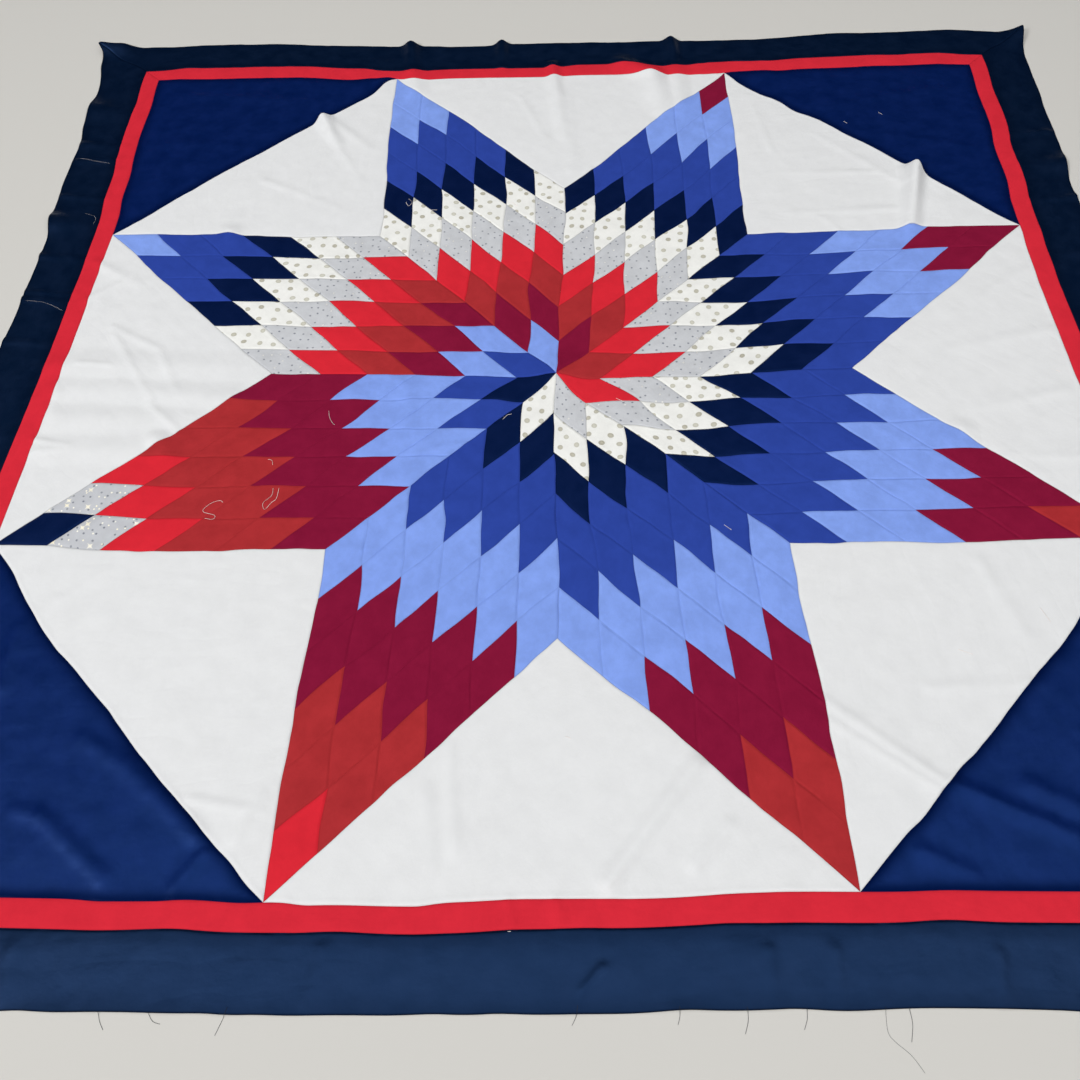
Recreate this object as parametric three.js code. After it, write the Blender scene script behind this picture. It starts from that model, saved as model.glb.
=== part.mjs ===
// A pieced star quilt top, laid out flat: eight star points and eight white setting panels, with four navy
// corner panels, a narrow red border and a wide dark navy border. It is one layer of cloth, with a raw edge.
//
// Millimetres, +Z up. The cloth lies on the surface Z = 0, +Y runs to its back edge and +X to its right edge.
// Every piece is cut to its true shape first. The whole cloth is then laid: each point of it shifts a little
// in the plane, where the sewing pulls, and rises over the folds and puckers.

import * as THREE from 'three';
import { mergeVertices } from 'three/addons/utils/BufferGeometryUtils.js';

// Driving dimensions
const stripWidth = 63.5;         // finished width of the strips that the small diamonds are cut from
const diamondsPerSide = 6;       // small diamonds along one side of a star point
const redWidth = 38.1;
const navyWidth = 108;
const clothThickness = 2;        // over the seam allowances pressed flat under the cloth
const seamGap = 0.4;             // between one piece and the next

// The star and the square round it
const diamondSide = stripWidth * Math.SQRT2;
const pointSide = diamondSide * diamondsPerSide;
const tipOffset = pointSide * Math.SQRT1_2;      // from the middle of a side to the nearest tips
const tipReach = pointSide + tipOffset;          // from the centre out to the tips and the red border
const redReach = tipReach + redWidth;
const navyReach = redReach + navyWidth;

// Steps of the lattice that carries the folds
const sideSteps = 8;             // along a side of a point or panel
const borderRows = 2;            // across the navy border
const tallFold = 8;              // a fold that rises this far gets steps of its own where it crosses a seam
const foldReach = 180;           // and it crosses one when it starts within this distance of it
const stepsOverFold = [-1.2, -0.6, 0, 0.6, 1.2];  // places of those steps, in widths of the fold
const evenClearance = 27;        // even steps keep this far from them
const closestSteps = 7;          // steps nearer together than this are made one

// Where the sewing pulls the cut cloth off its drawn place: at a point of the pattern, by so much
const pullCore = 60;             // how far a pull holds before the next ones take over
const pulls = [
  { name: 'star centre', at: [0, 0], by: [-4, -10] },
  { name: 'back notch', at: [0, 539], by: [9, -17] },
  { name: 'back right notch', at: [381, 381], by: [-1, -12] },
  { name: 'right notch', at: [539, 0], by: [-8, 0] },
  { name: 'front right notch', at: [381, -381], by: [-12, 7] },
  { name: 'front notch', at: [0, -539], by: [-2, -4] },
  { name: 'front left notch', at: [-381, -381], by: [3, -2] },
  { name: 'left notch', at: [-539, 0], by: [6, -1] },
  { name: 'back left notch', at: [-381, 381], by: [12, -5] },
  { name: 'tip, back left', at: [-381, 920], by: [-6, 11] },
  { name: 'tip, back right', at: [381, 920], by: [7, 13] },
  { name: 'tip, right back', at: [920, 381], by: [4, 3] },
  { name: 'tip, right front', at: [920, -381], by: [-4, 12] },
  { name: 'tip, front right', at: [381, -920], by: [7, 11] },
  { name: 'tip, front left', at: [-381, -920], by: [-5, -6] },
  { name: 'tip, left front', at: [-920, -381], by: [-8, 9] },
  { name: 'tip, left back', at: [-920, 381], by: [-6, 12] },
  { name: 'front left panel, long side', at: [-760, -540], by: [-11, -10] },
  { name: 'front left panel, front of long side', at: [-550, -750], by: [-10, -11] },
  { name: 'front right panel, long side', at: [650, -650], by: [0, 0] },
  { name: 'front right point, left side', at: [200, -730], by: [4, 6] },
  { name: 'back red strip, left end', at: [-939, 939], by: [-46, 34] },
  { name: 'back red strip, left part', at: [-700, 939], by: [0, 29] },
  { name: 'back red strip, left of middle', at: [-230, 939], by: [0, 18] },
  { name: 'back red strip, middle', at: [30, 939], by: [0, 17] },
  { name: 'back red strip, right part', at: [640, 939], by: [0, 27] },
  { name: 'back red strip, right end', at: [939, 939], by: [42, 34] },
  { name: 'left red strip, back part', at: [-939, 760], by: [-37, 14] },
  { name: 'left red strip, near the tip', at: [-939, 560], by: [-22, 10] },
  { name: 'left red strip, middle', at: [-939, 150], by: [-7, 0] },
  { name: 'right red strip, back part', at: [939, 760], by: [34, 14] },
  { name: 'right red strip, near the tip', at: [939, 560], by: [21, 8] },
  { name: 'right red strip, middle', at: [939, 150], by: [6, 0] },
  { name: 'front red strip, left part', at: [-600, -939], by: [0, -4] },
  { name: 'front red strip, left of middle', at: [-200, -939], by: [0, -6] },
  { name: 'front red strip, middle', at: [60, -939], by: [0, -2] },
  { name: 'front red strip, right part', at: [600, -939], by: [0, 13] },
  { name: 'back left corner', at: [-1066, 1066], by: [-60, 16] },
  { name: 'back edge, left part', at: [-820, 1066], by: [-8, 25] },
  { name: 'back edge, left of middle', at: [-430, 1066], by: [0, 17] },
  { name: 'back edge, middle', at: [0, 1066], by: [0, 18] },
  { name: 'back edge, right of middle', at: [380, 1066], by: [0, 11] },
  { name: 'back edge, right part', at: [760, 1066], by: [6, 14] },
  { name: 'back right corner', at: [1066, 1066], by: [46, 8] },
  { name: 'left edge, back part', at: [-1066, 850], by: [-32, 3] },
  { name: 'left edge, near the tip', at: [-1066, 600], by: [-19, 2] },
  { name: 'left edge, middle', at: [-1066, 250], by: [3, 0] },
  { name: 'right edge, back part', at: [1066, 850], by: [26, 2] },
  { name: 'right edge, near the tip', at: [1066, 620], by: [15, 1] },
  { name: 'right edge, middle', at: [1066, 430], by: [1, 0] },
  { name: 'front edge, left part', at: [-560, -1066], by: [0, 10] },
  { name: 'front edge, left of middle', at: [-250, -1066], by: [0, 9] },
  { name: 'front edge, middle', at: [60, -1066], by: [0, 13] },
  { name: 'front edge, right part', at: [480, -1066], by: [0, 23] },
  { name: 'front left corner', at: [-1066, -1066], by: [-14, 4] },
  { name: 'front right corner', at: [1066, -1066], by: [14, 10] },
];

// Smaller shifts of the cut cloth, round one stretch of a seam or edge, that fade out within their reach
const tugs = [
  { name: 'back border seam, left part', from: [-860, 958], to: [-480, 958], by: [0, 14], reach: 40 },
  { name: 'back border seam, middle', from: [50, 958], to: [140, 958], by: [0, 10], reach: 42 },
  { name: 'back border seam, right part', from: [400, 958], to: [860, 958], by: [0, 11], reach: 42 },
  { name: 'back red strip, right part', from: [760, 940], to: [810, 940], by: [0, 10], reach: 60 },
  { name: 'back red strip, by the left tip', from: [-440, 922], to: [-405, 922], by: [0, 9], reach: 30 },
  { name: 'back red strip, by the right tip', from: [415, 922], to: [470, 922], by: [0, 10], reach: 34 },
  { name: 'back border seam, by the right tip', from: [325, 955], to: [345, 955], by: [0, 9], reach: 32 },
  { name: 'back left corner, spike', from: [-1068, 1066], to: [-1062, 1066], by: [-13, 3], reach: 13 },
  { name: 'back edge, left end', from: [-1000, 1066], to: [-990, 1066], by: [0, 8], reach: 45 },
  { name: 'back edge, left part', from: [-860, 1066], to: [-700, 1066], by: [0, 7], reach: 60 },
  { name: 'back edge, middle', from: [-400, 1066], to: [150, 1066], by: [0, -6], reach: 55 },
  { name: 'back edge, left of middle', from: [-260, 1066], to: [-190, 1066], by: [0, -6], reach: 40 },
  { name: 'back edge, right part', from: [700, 1066], to: [1000, 1066], by: [0, 16], reach: 90 },
  { name: 'back left tip, corner panel', from: [-408, 893], to: [-404, 897], by: [0, 16], reach: 24 },
  { name: 'back right corner panel, by the tip', from: [415, 885], to: [455, 845], by: [-3, -8], reach: 34 },
  { name: 'back right corner panel, dip', from: [525, 776], to: [527, 774], by: [-3, -6], reach: 26 },
  { name: 'back right corner panel, swell', from: [575, 725], to: [590, 710], by: [2, 3], reach: 26 },
  { name: 'front left panel, long side', from: [-830, -470], to: [-560, -740], by: [-2, -2], reach: 60 },
  { name: 'front left corner panel, tip', from: [-450, -850], to: [-410, -890], by: [-2, -4], reach: 35 },
  { name: 'front right corner panel, long side', from: [480, -822], to: [525, -776], by: [2, -3], reach: 34 },
  { name: 'left edge, back bay', from: [-1066, 712], to: [-1066, 706], by: [6, 0], reach: 40 },
  { name: 'left edge, middle bay', from: [-1066, 500], to: [-1066, 400], by: [5, 0], reach: 50 },
  { name: 'left edge, front bay', from: [-1066, 120], to: [-1066, 60], by: [7, 0], reach: 70 },
  { name: 'left red strip, back swell', from: [-940, 638], to: [-940, 630], by: [-7, 0], reach: 38 },
  { name: 'left red strip, swell', from: [-940, 430], to: [-940, 250], by: [-5, 0], reach: 50 },
  { name: 'right edge, by the corner', from: [1066, 995], to: [1066, 985], by: [-8, 0], reach: 45 },
  { name: 'right edge, back bay', from: [1066, 770], to: [1066, 758], by: [-7, 0], reach: 45 },
  { name: 'right edge, bay', from: [1066, 560], to: [1066, 530], by: [-8, 0], reach: 50 },
  { name: 'right red strip, swell', from: [939, 425], to: [939, 370], by: [6, 0], reach: 42 },
  { name: 'right red strip, bay', from: [939, 200], to: [939, 0], by: [-5, 0], reach: 60 },
  { name: 'front edge, left end', from: [-700, -1066], to: [-680, -1066], by: [0, 5], reach: 40 },
  { name: 'front edge, left part', from: [-425, -1066], to: [-385, -1066], by: [0, 5], reach: 45 },
  { name: 'front edge, left of middle', from: [-140, -1066], to: [-90, -1066], by: [0, 6], reach: 50 },
  { name: 'front edge, right of middle', from: [170, -1066], to: [270, -1066], by: [0, 8], reach: 60 },
  { name: 'front edge, right end', from: [620, -1066], to: [700, -1066], by: [0, 4], reach: 60 },
  { name: 'front border seam, right of middle', from: [40, -958], to: [200, -958], by: [0, 4], reach: 45 },
  { name: 'front red seam, left part', from: [-600, -920], to: [-530, -920], by: [0, -3], reach: 32 },
  { name: 'front red seam, left of middle', from: [-320, -920], to: [-190, -920], by: [0, -5], reach: 30 },
  { name: 'right of the centre', from: [75, 5], to: [160, 62], by: [-12, -10], reach: 62 },
  { name: 'right of the centre, outer', from: [250, 75], to: [350, 120], by: [-7, -10], reach: 75 },
  { name: 'right of the centre, front', from: [215, -85], to: [290, -180], by: [-11, -11], reach: 68 },
  { name: 'right of the centre, by the seam', from: [105, -95], to: [140, -110], by: [-10, 7], reach: 42 },
  { name: 'right point, along its front seam', from: [290, 0], to: [410, -45], by: [-5, -9], reach: 58 },
  { name: 'towards the front right notch', from: [330, -270], to: [420, -210], by: [-1, -9], reach: 58 },
  { name: 'in front of the centre', from: [45, -90], to: [62, -300], by: [-11, -1], reach: 66 },
  { name: 'in front of the centre, right', from: [127, -205], to: [127, -400], by: [-7, 1], reach: 50 },
  { name: 'left of the centre', from: [-75, 5], to: [-170, 45], by: [15, -6], reach: 60 },
  { name: 'left of the centre, front', from: [-150, -66], to: [-245, -68], by: [13, 6], reach: 48 },
  { name: 'left of the centre, back', from: [-215, 125], to: [-245, 70], by: [13, -5], reach: 58 },
  { name: 'left of the centre, outer', from: [-330, 70], to: [-490, 110], by: [6, -8], reach: 58 },
  { name: 'left point, front half', from: [-300, -110], to: [-490, -120], by: [6, -3], reach: 58 },
  { name: 'behind the centre, right', from: [110, 130], to: [170, 260], by: [-1, -9], reach: 75 },
  { name: 'behind the centre', from: [0, 250], to: [50, 320], by: [3, -9], reach: 50 },
  { name: 'behind the centre, left', from: [-60, 110], to: [-68, 155], by: [10, -11], reach: 52 },
  { name: 'behind the centre, left part', from: [-150, 290], to: [-290, 220], by: [4, -8], reach: 62 },
  { name: 'back right point, middle', from: [254, 420], to: [254, 610], by: [7, -6], reach: 62 },
  { name: 'back right point, right side', from: [300, 190], to: [390, 200], by: [-6, -7], reach: 55 },
  { name: 'back left point, middle', from: [-75, 350], to: [-120, 500], by: [6, 1], reach: 50 },
  { name: 'back left point, left side', from: [-254, 523], to: [-318, 497], by: [-4, 6], reach: 50 },
  { name: 'back seam, outer part', from: [0, 430], to: [0, 480], by: [2, 8], reach: 40 },
  { name: 'back right notch, behind it', from: [640, 370], to: [670, 385], by: [-12, -8], reach: 34 },
];

// Where the laid cloth stands up off the surface: soft ridges that run from one place to another
const restLevel = 0.5;           // a rise lower than this is pressed flat
const foldMeeting = 4;           // folds that meet run into each other, and don't add up
const folds = [
  { name: 'back edge, left pucker', from: [-365, 1085], to: [-353, 985], rise: [16, 6], width: 17 },
  { name: 'left pucker at the red border', from: [-350, 955], to: [-332, 850], rise: [9, 3], width: 24 },
  { name: 'back edge, middle pucker', from: [-142, 1080], to: [-139, 985], rise: [14, 4], width: 14 },
  { name: 'fold to the back notch', from: [-18, 985], to: [6, 700], rise: [9, 3], width: 15 },
  { name: 'pucker at the red border', from: [150, 990], to: [213, 935], rise: [8, 16], width: 26 },
  { name: 'fold behind that pucker', from: [213, 935], to: [235, 800], rise: [15, 4], width: 30 },
  { name: 'back edge, right pucker', from: [269, 1080], to: [273, 985], rise: [14, 5], width: 15 },
  { name: 'fold to the back right point', from: [273, 985], to: [279, 815], rise: [5, 5], width: 22 },
  { name: 'back left corner, curled', from: [-1130, 1092], to: [-1086, 1088], rise: [24, 17], width: 30 },
  { name: 'back right corner, curled', from: [1118, 1078], to: [1088, 1048], rise: [24, 8], width: 30 },
  { name: 'left edge, pucker', from: [-1075, 432], to: [-1000, 425], rise: [14, 3], width: 30 },
  { name: 'left edge, back pucker', from: [-1098, 835], to: [-1005, 818], rise: [10, 3], width: 36 },
  { name: 'right edge, pucker', from: [1078, 578], to: [1005, 568], rise: [10, 3], width: 30 },
  { name: 'right panel seam, tall fold', from: [752, 562], to: [711, 388], rise: [27, 12], width: 17 },
  { name: 'left panel seam, tuck', from: [-542, 777], to: [-496, 690], rise: [17, 4], width: 15 },
  { name: 'left back point, edge', from: [-684, 390], to: [-690, 345], rise: [8, 3], width: 24 },
  { name: 'left front point, edge', from: [-708, -156], to: [-672, -205], rise: [8, 3], width: 22 },
  { name: 'right front point, edge', from: [690, -145], to: [660, -195], rise: [6, 2], width: 22 },
  { name: 'centre of the star', from: [-4, -10], to: [-6, -12], rise: [8, 8], width: 44 },
  { name: 'fold from the centre', from: [-24, -28], to: [-76, -150], rise: [6, 2], width: 34 },
  { name: 'left panel, first fold', from: [-933, 24], to: [-612, 18], rise: [5, 3], width: 30 },
  { name: 'left panel, second fold', from: [-918, -32], to: [-596, -62], rise: [4, 5], width: 28 },
  { name: 'left panel, third fold', from: [-895, -107], to: [-641, -109], rise: [5, 3], width: 30 },
  { name: 'left panel, fourth fold', from: [-911, -174], to: [-715, -176], rise: [4, 3], width: 28 },
];

// Colours of the cloths
const dye = {
  light: '#7396e6', royal: '#2d419b', navy: '#00164b', white: '#e8e8e6', dotted: '#ece9dc', grey: '#c3c8cd',
  red: '#de2d3c', burgundy: '#7d0f32', cornerNavy: '#041c5a', borderNavy: '#12294a',
};
const widestRow = ['navy', 'royal', 'royal', 'light', 'light', 'burgundy', 'grey', 'dotted'];

// How far along a run the point nearest to a place lies, from 0 to 1, and how far off that point is
function beside(run, x, y) {
  const runX = run.to[0] - run.from[0];
  const runY = run.to[1] - run.from[1];
  const along = ((x - run.from[0]) * runX + (y - run.from[1]) * runY) / (runX ** 2 + runY ** 2);
  const part = THREE.MathUtils.clamp(along, 0, 1);
  return { part, off: Math.hypot(x - run.from[0] - runX * part, y - run.from[1] - runY * part) };
}

// Height of the laid cloth's underside over the surface
function rise(x, y) {
  let sum = 0;
  for (const fold of folds) {
    const { part, off } = beside(fold, x, y);
    const crest = THREE.MathUtils.lerp(fold.rise[0], fold.rise[1], part);
    sum += (crest * Math.exp(-((off / fold.width) ** 2))) ** foldMeeting;
  }
  return Math.max(0, sum ** (1 / foldMeeting) - restLevel);
}

// Place of one point of the cut cloth once it is laid
function lay(cut) {
  const shift = new THREE.Vector2();
  let total = 0;
  for (const pull of pulls) {
    const distance2 = (cut.x - pull.at[0]) ** 2 + (cut.y - pull.at[1]) ** 2;
    const weight = 1 / (distance2 + pullCore ** 2) ** 2;
    shift.x += pull.by[0] * weight;
    shift.y += pull.by[1] * weight;
    total += weight;
  }
  const laid = shift.divideScalar(total).add(cut);
  for (const tug of tugs) {
    const fade = Math.exp(-((beside(tug, cut.x, cut.y).off / tug.reach) ** 2));
    laid.x += tug.by[0] * fade;
    laid.y += tug.by[1] * fade;
  }
  return new THREE.Vector3(laid.x, laid.y, rise(laid.x, laid.y));
}

// Corners of a convex cut line moved in by half a seam gap, for corners that run counter-clockwise
function inset(corners) {
  return corners.map((corner, i) => {
    const before = corners[(i + corners.length - 1) % corners.length];
    const after = corners[(i + 1) % corners.length];
    const arriving = corner.clone().sub(before).normalize();
    const leaving = after.clone().sub(corner).normalize();
    const inward = new THREE.Vector2(-arriving.y - leaving.y, arriving.x + leaving.x);
    return corner.clone().addScaledVector(inward, seamGap / 2 / (1 + arriving.dot(leaving)));
  });
}

function evenStops(steps) {
  return Array.from({ length: steps + 1 }, (_, i) => i / steps);
}

// A laid piece of cloth. Its cut line has three or four corners, counter-clockwise. Columns step from the
// first corner to the second one. Rows step from that side to the far one, a point if there are three
// corners.
function clothPiece(name, cutLine, columns, rows, material) {
  const corners = inset(cutLine);
  const [a, b, c] = corners;
  const d = corners[3] ?? c;
  const lattice = new THREE.PlaneGeometry(1, 1, columns.length - 1, rows.length - 1);
  lattice.deleteAttribute('normal');
  lattice.deleteAttribute('uv');
  const places = lattice.getAttribute('position');
  for (let i = 0; i < places.count; i++) {
    const column = columns[Math.round((places.getX(i) + 0.5) * (columns.length - 1))];
    const row = rows[Math.round((places.getY(i) + 0.5) * (rows.length - 1))];
    const near = a.clone().lerp(b, column);
    const far = d.clone().lerp(c, column);
    places.setXYZ(i, ...lay(near.lerp(far, row)));
  }
  const mesh = new THREE.Mesh(thickened(mergeVertices(lattice, seamGap / 100)), material);
  mesh.name = name;
  return mesh;
}

// The closed solid over a laid lattice, with the lattice's own triangles above and below
function thickened(lattice) {
  const under = Array.from(lattice.getAttribute('position').array);
  const over = under.map((value, i) => (i % 3 === 2 ? value + clothThickness : value));
  const up = under.length / 3;
  const triangles = trianglesOf(lattice);
  const sides = triangles.flatMap(([p, q, r]) => [[p, q], [q, r], [r, p]]);
  const shared = new Set(sides.map(([p, q]) => `${q} ${p}`));
  const rim = sides.filter(([p, q]) => !shared.has(`${p} ${q}`));
  const geometry = new THREE.BufferGeometry();
  geometry.setAttribute('position', new THREE.Float32BufferAttribute([...under, ...over], 3));
  geometry.setIndex([
    ...triangles.flatMap(([p, q, r]) => [p + up, q + up, r + up, r, q, p]),
    ...rim.flatMap(([p, q]) => [p, q, q + up, p, q + up, p + up]),
  ]);
  geometry.computeVertexNormals();
  return geometry;
}

// Triangles of a lattice, without those that a side closed to a point leaves flat
function trianglesOf(lattice) {
  const index = Array.from(lattice.index.array);
  const triangles = [];
  for (let i = 0; i < index.length; i += 3) {
    const [p, q, r] = index.slice(i, i + 3);
    if (p !== q && q !== r && r !== p) triangles.push([p, q, r]);
  }
  return triangles;
}

function cloth(color) {
  return new THREE.MeshStandardMaterial({ color, roughness: 0.85, metalness: 0 });
}

function quarterTurned(points, turns) {
  return points.map((point) => point.clone().rotateAround(new THREE.Vector2(), -turns * Math.PI / 2));
}

// Pattern points at one of the eight directions, clockwise from the back
function notch(direction) {
  const angle = Math.PI / 2 - direction * Math.PI / 4;
  return new THREE.Vector2(Math.cos(angle), Math.sin(angle)).multiplyScalar(pointSide);
}
function tip(point) {
  return notch(point).add(notch(point + 1));
}

// Steps along a long side, clockwise from one tip to the next, closed up where a tall fold crosses it
function longSideStops(i) {
  const firstTip = tip(i - 1);
  const side = tip(i).sub(firstTip);
  const along = side.clone().normalize();
  const extra = folds
    .filter((fold) => Math.max(...fold.rise) >= tallFold)
    .map((fold) => ({ fold, start: new THREE.Vector2(...fold.from).sub(firstTip) }))
    .filter(({ start }) => Math.abs(start.cross(along)) < foldReach)
    .flatMap(({ fold, start }) => stepsOverFold.map((step) => start.dot(along) + step * fold.width));
  const even = evenStops(sideSteps).map((part) => part * side.length());
  const inner = even.slice(1, -1).filter((x) => extra.every((other) => Math.abs(x - other) > evenClearance));
  const spaced = [...inner, ...extra]
    .filter((x) => x > closestSteps && x < side.length() - closestSteps)
    .sort((p, q) => p - q)
    .filter((x, k, all) => k === 0 || x - all[k - 1] > closestSteps);
  return [0, ...spaced.map((x) => x / side.length()), 1];
}

// Steps along a whole border strip: those of its long side, with a corner panel's side before and after them
function stripStops(turns) {
  const panelSide = evenStops(sideSteps).map((part) => part * pointSide);
  const middle = longSideStops(2 * turns).map((part) => pointSide + part * 2 * tipOffset);
  const last = panelSide.map((x) => x + pointSide + 2 * tipOffset);
  return [...panelSide, ...middle.slice(1), ...last.slice(1)].map((x) => x / (2 * tipReach));
}

function starPoint(i) {
  const cutLine = [new THREE.Vector2(), notch(i + 1), tip(i), notch(i)];
  const steps = evenStops(sideSteps);
  return clothPiece(`star_point_${i + 1}`, cutLine, steps, steps, cloth(dye[widestRow[i]]));
}

function settingPanel(i) {
  const cutLine = [tip(i), tip(i + 7), notch(i)];
  const columns = longSideStops(i).map((part) => 1 - part).reverse();
  return clothPiece(`setting_panel_${i + 1}`, cutLine, columns, evenStops(sideSteps), cloth(dye.white));
}

function cornerPanel(i) {
  const right = [
    new THREE.Vector2(tipOffset, tipReach), new THREE.Vector2(tipReach, tipOffset),
    new THREE.Vector2(tipReach, tipReach),
  ];
  const cutLine = quarterTurned(right, i);
  const columns = longSideStops(2 * i + 1);
  return clothPiece(`corner_panel_${i + 1}`, cutLine, columns, evenStops(sideSteps), cloth(dye.cornerNavy));
}

function borderStrip(name, side, turns, inner, outer, rows, color) {
  const back = [
    new THREE.Vector2(-inner, inner), new THREE.Vector2(inner, inner),
    new THREE.Vector2(outer, outer), new THREE.Vector2(-outer, outer),
  ];
  const cutLine = quarterTurned(back, turns);
  return clothPiece(`${name}_strip_${side}`, cutLine, stripStops(turns), evenStops(rows), cloth(color));
}

const quilt = new THREE.Group();
for (let i = 0; i < 8; i++) {
  quilt.add(starPoint(i), settingPanel(i));
}
for (let i = 0; i < 4; i++) {
  quilt.add(cornerPanel(i));
}
['back', 'right', 'front', 'left'].forEach((side, turns) => {
  quilt.add(borderStrip('red', side, turns, tipReach, redReach, 1, dye.red));
  quilt.add(borderStrip('navy', side, turns, redReach, navyReach, borderRows, dye.borderNavy));
});

// The origin is the middle of the laid cloth's box, on the surface
const middle = new THREE.Box3().setFromObject(quilt).getCenter(new THREE.Vector3());
quilt.position.set(-middle.x, -middle.y, 0);

export default quilt;
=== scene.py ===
"""A pieced star quilt top, laid out flat: one layer of cotton patches, unlined, with a raw outer edge.

Eight star points of small diamonds stand in a square of white setting panels and navy corner panels, with a
narrow red border and a wide dark navy one. Each piece is cut flat first and then laid: it shifts a little
where the sewing pulls, and rises over the folds, creases and seams. Pattern sizes are in millimetres.
"""
from __future__ import annotations

import logging
import math
import random
from dataclasses import dataclass
from enum import Enum, IntEnum

import bmesh
import bpy
import numpy as np
from mathutils import Matrix, Vector


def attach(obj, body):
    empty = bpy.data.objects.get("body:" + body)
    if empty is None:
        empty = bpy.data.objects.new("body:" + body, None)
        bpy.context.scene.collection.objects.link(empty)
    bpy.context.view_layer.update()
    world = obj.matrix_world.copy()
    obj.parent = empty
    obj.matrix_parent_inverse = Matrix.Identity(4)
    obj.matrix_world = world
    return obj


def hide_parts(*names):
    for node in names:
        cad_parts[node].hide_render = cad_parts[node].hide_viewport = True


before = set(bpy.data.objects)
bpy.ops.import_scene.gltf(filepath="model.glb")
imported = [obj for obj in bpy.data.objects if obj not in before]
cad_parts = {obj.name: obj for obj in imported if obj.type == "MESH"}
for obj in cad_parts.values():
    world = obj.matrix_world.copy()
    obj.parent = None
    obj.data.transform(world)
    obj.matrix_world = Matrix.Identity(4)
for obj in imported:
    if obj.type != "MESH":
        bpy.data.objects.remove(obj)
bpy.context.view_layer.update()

logging.basicConfig(level=logging.INFO, format="%(message)s")
log = logging.getLogger("quilt")

MM = 0.001
Place = tuple[float, float]
Dye = tuple[int, int, int]
Colour = tuple[float, float, float, float]


class Seed(IntEnum):
    """First seed of each kind of chance, so that no two share a pattern."""

    WAVES = 3
    CRINKLES = 5
    WANDER_ACROSS = 11
    WANDER_ALONG = 13
    POINT_SEAMS = 40
    PANEL_SEAMS = 60
    STRIP_SEAMS = 90
    PRINTS = 100
    SLIDES = 300


# The pattern's sizes

@dataclass(frozen=True)
class Pattern:
    """Driving sizes of the pieced pattern, and the sizes worked out from them."""

    strip_width: float = 63.5
    diamonds_per_side: int = 6
    red_width: float = 38.1
    navy_width: float = 108.0
    middle: Place = (-13.691, 19.568)

    @property
    def diamond_side(self) -> float:
        """Side of one small diamond."""
        return self.strip_width * math.sqrt(2)

    @property
    def point_side(self) -> float:
        """Side of one star point."""
        return self.diamond_side * self.diamonds_per_side

    @property
    def tip_offset(self) -> float:
        """From the middle of the quilt's side to the nearest tips."""
        return self.point_side * math.sqrt(0.5)

    @property
    def tip_reach(self) -> float:
        """From the star's centre out to the red border."""
        return self.point_side + self.tip_offset

    @property
    def red_reach(self) -> float:
        """From the star's centre out to the seam between the borders."""
        return self.tip_reach + self.red_width

    @property
    def navy_reach(self) -> float:
        """From the star's centre out to the raw edge."""
        return self.red_reach + self.navy_width

    def notch(self, direction: int) -> np.ndarray:
        """Inner point between two star points.

        Args:
            direction: eighth of a turn, clockwise from the back.

        Returns:
            The place in the cut pattern.
        """
        angle = math.pi / 2 - direction * math.pi / 4
        return self.point_side * np.array([math.cos(angle), math.sin(angle)])

    def tip(self, point: int) -> np.ndarray:
        """Outer tip of a star point.

        Args:
            point: the star point's number, 0 to 7, clockwise.

        Returns:
            The place in the cut pattern.
        """
        return self.notch(point) + self.notch(point + 1)


PATTERN = Pattern()


# Where the sewing pulls the cut cloth, and where the laid cloth stands up

@dataclass(frozen=True)
class Pull:
    """A shift of the cut cloth at one place of the pattern."""

    at: Place
    by: Place


@dataclass(frozen=True)
class Tug:
    """A smaller shift of the cloth round one stretch of a seam or edge, that fades within its reach."""

    start: Place
    end: Place
    by: Place
    reach: float


@dataclass(frozen=True)
class Ridge:
    """A soft ridge of the laid cloth from one place to another, with its rise at both ends."""

    start: Place
    end: Place
    rise: Place
    width: float


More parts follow.
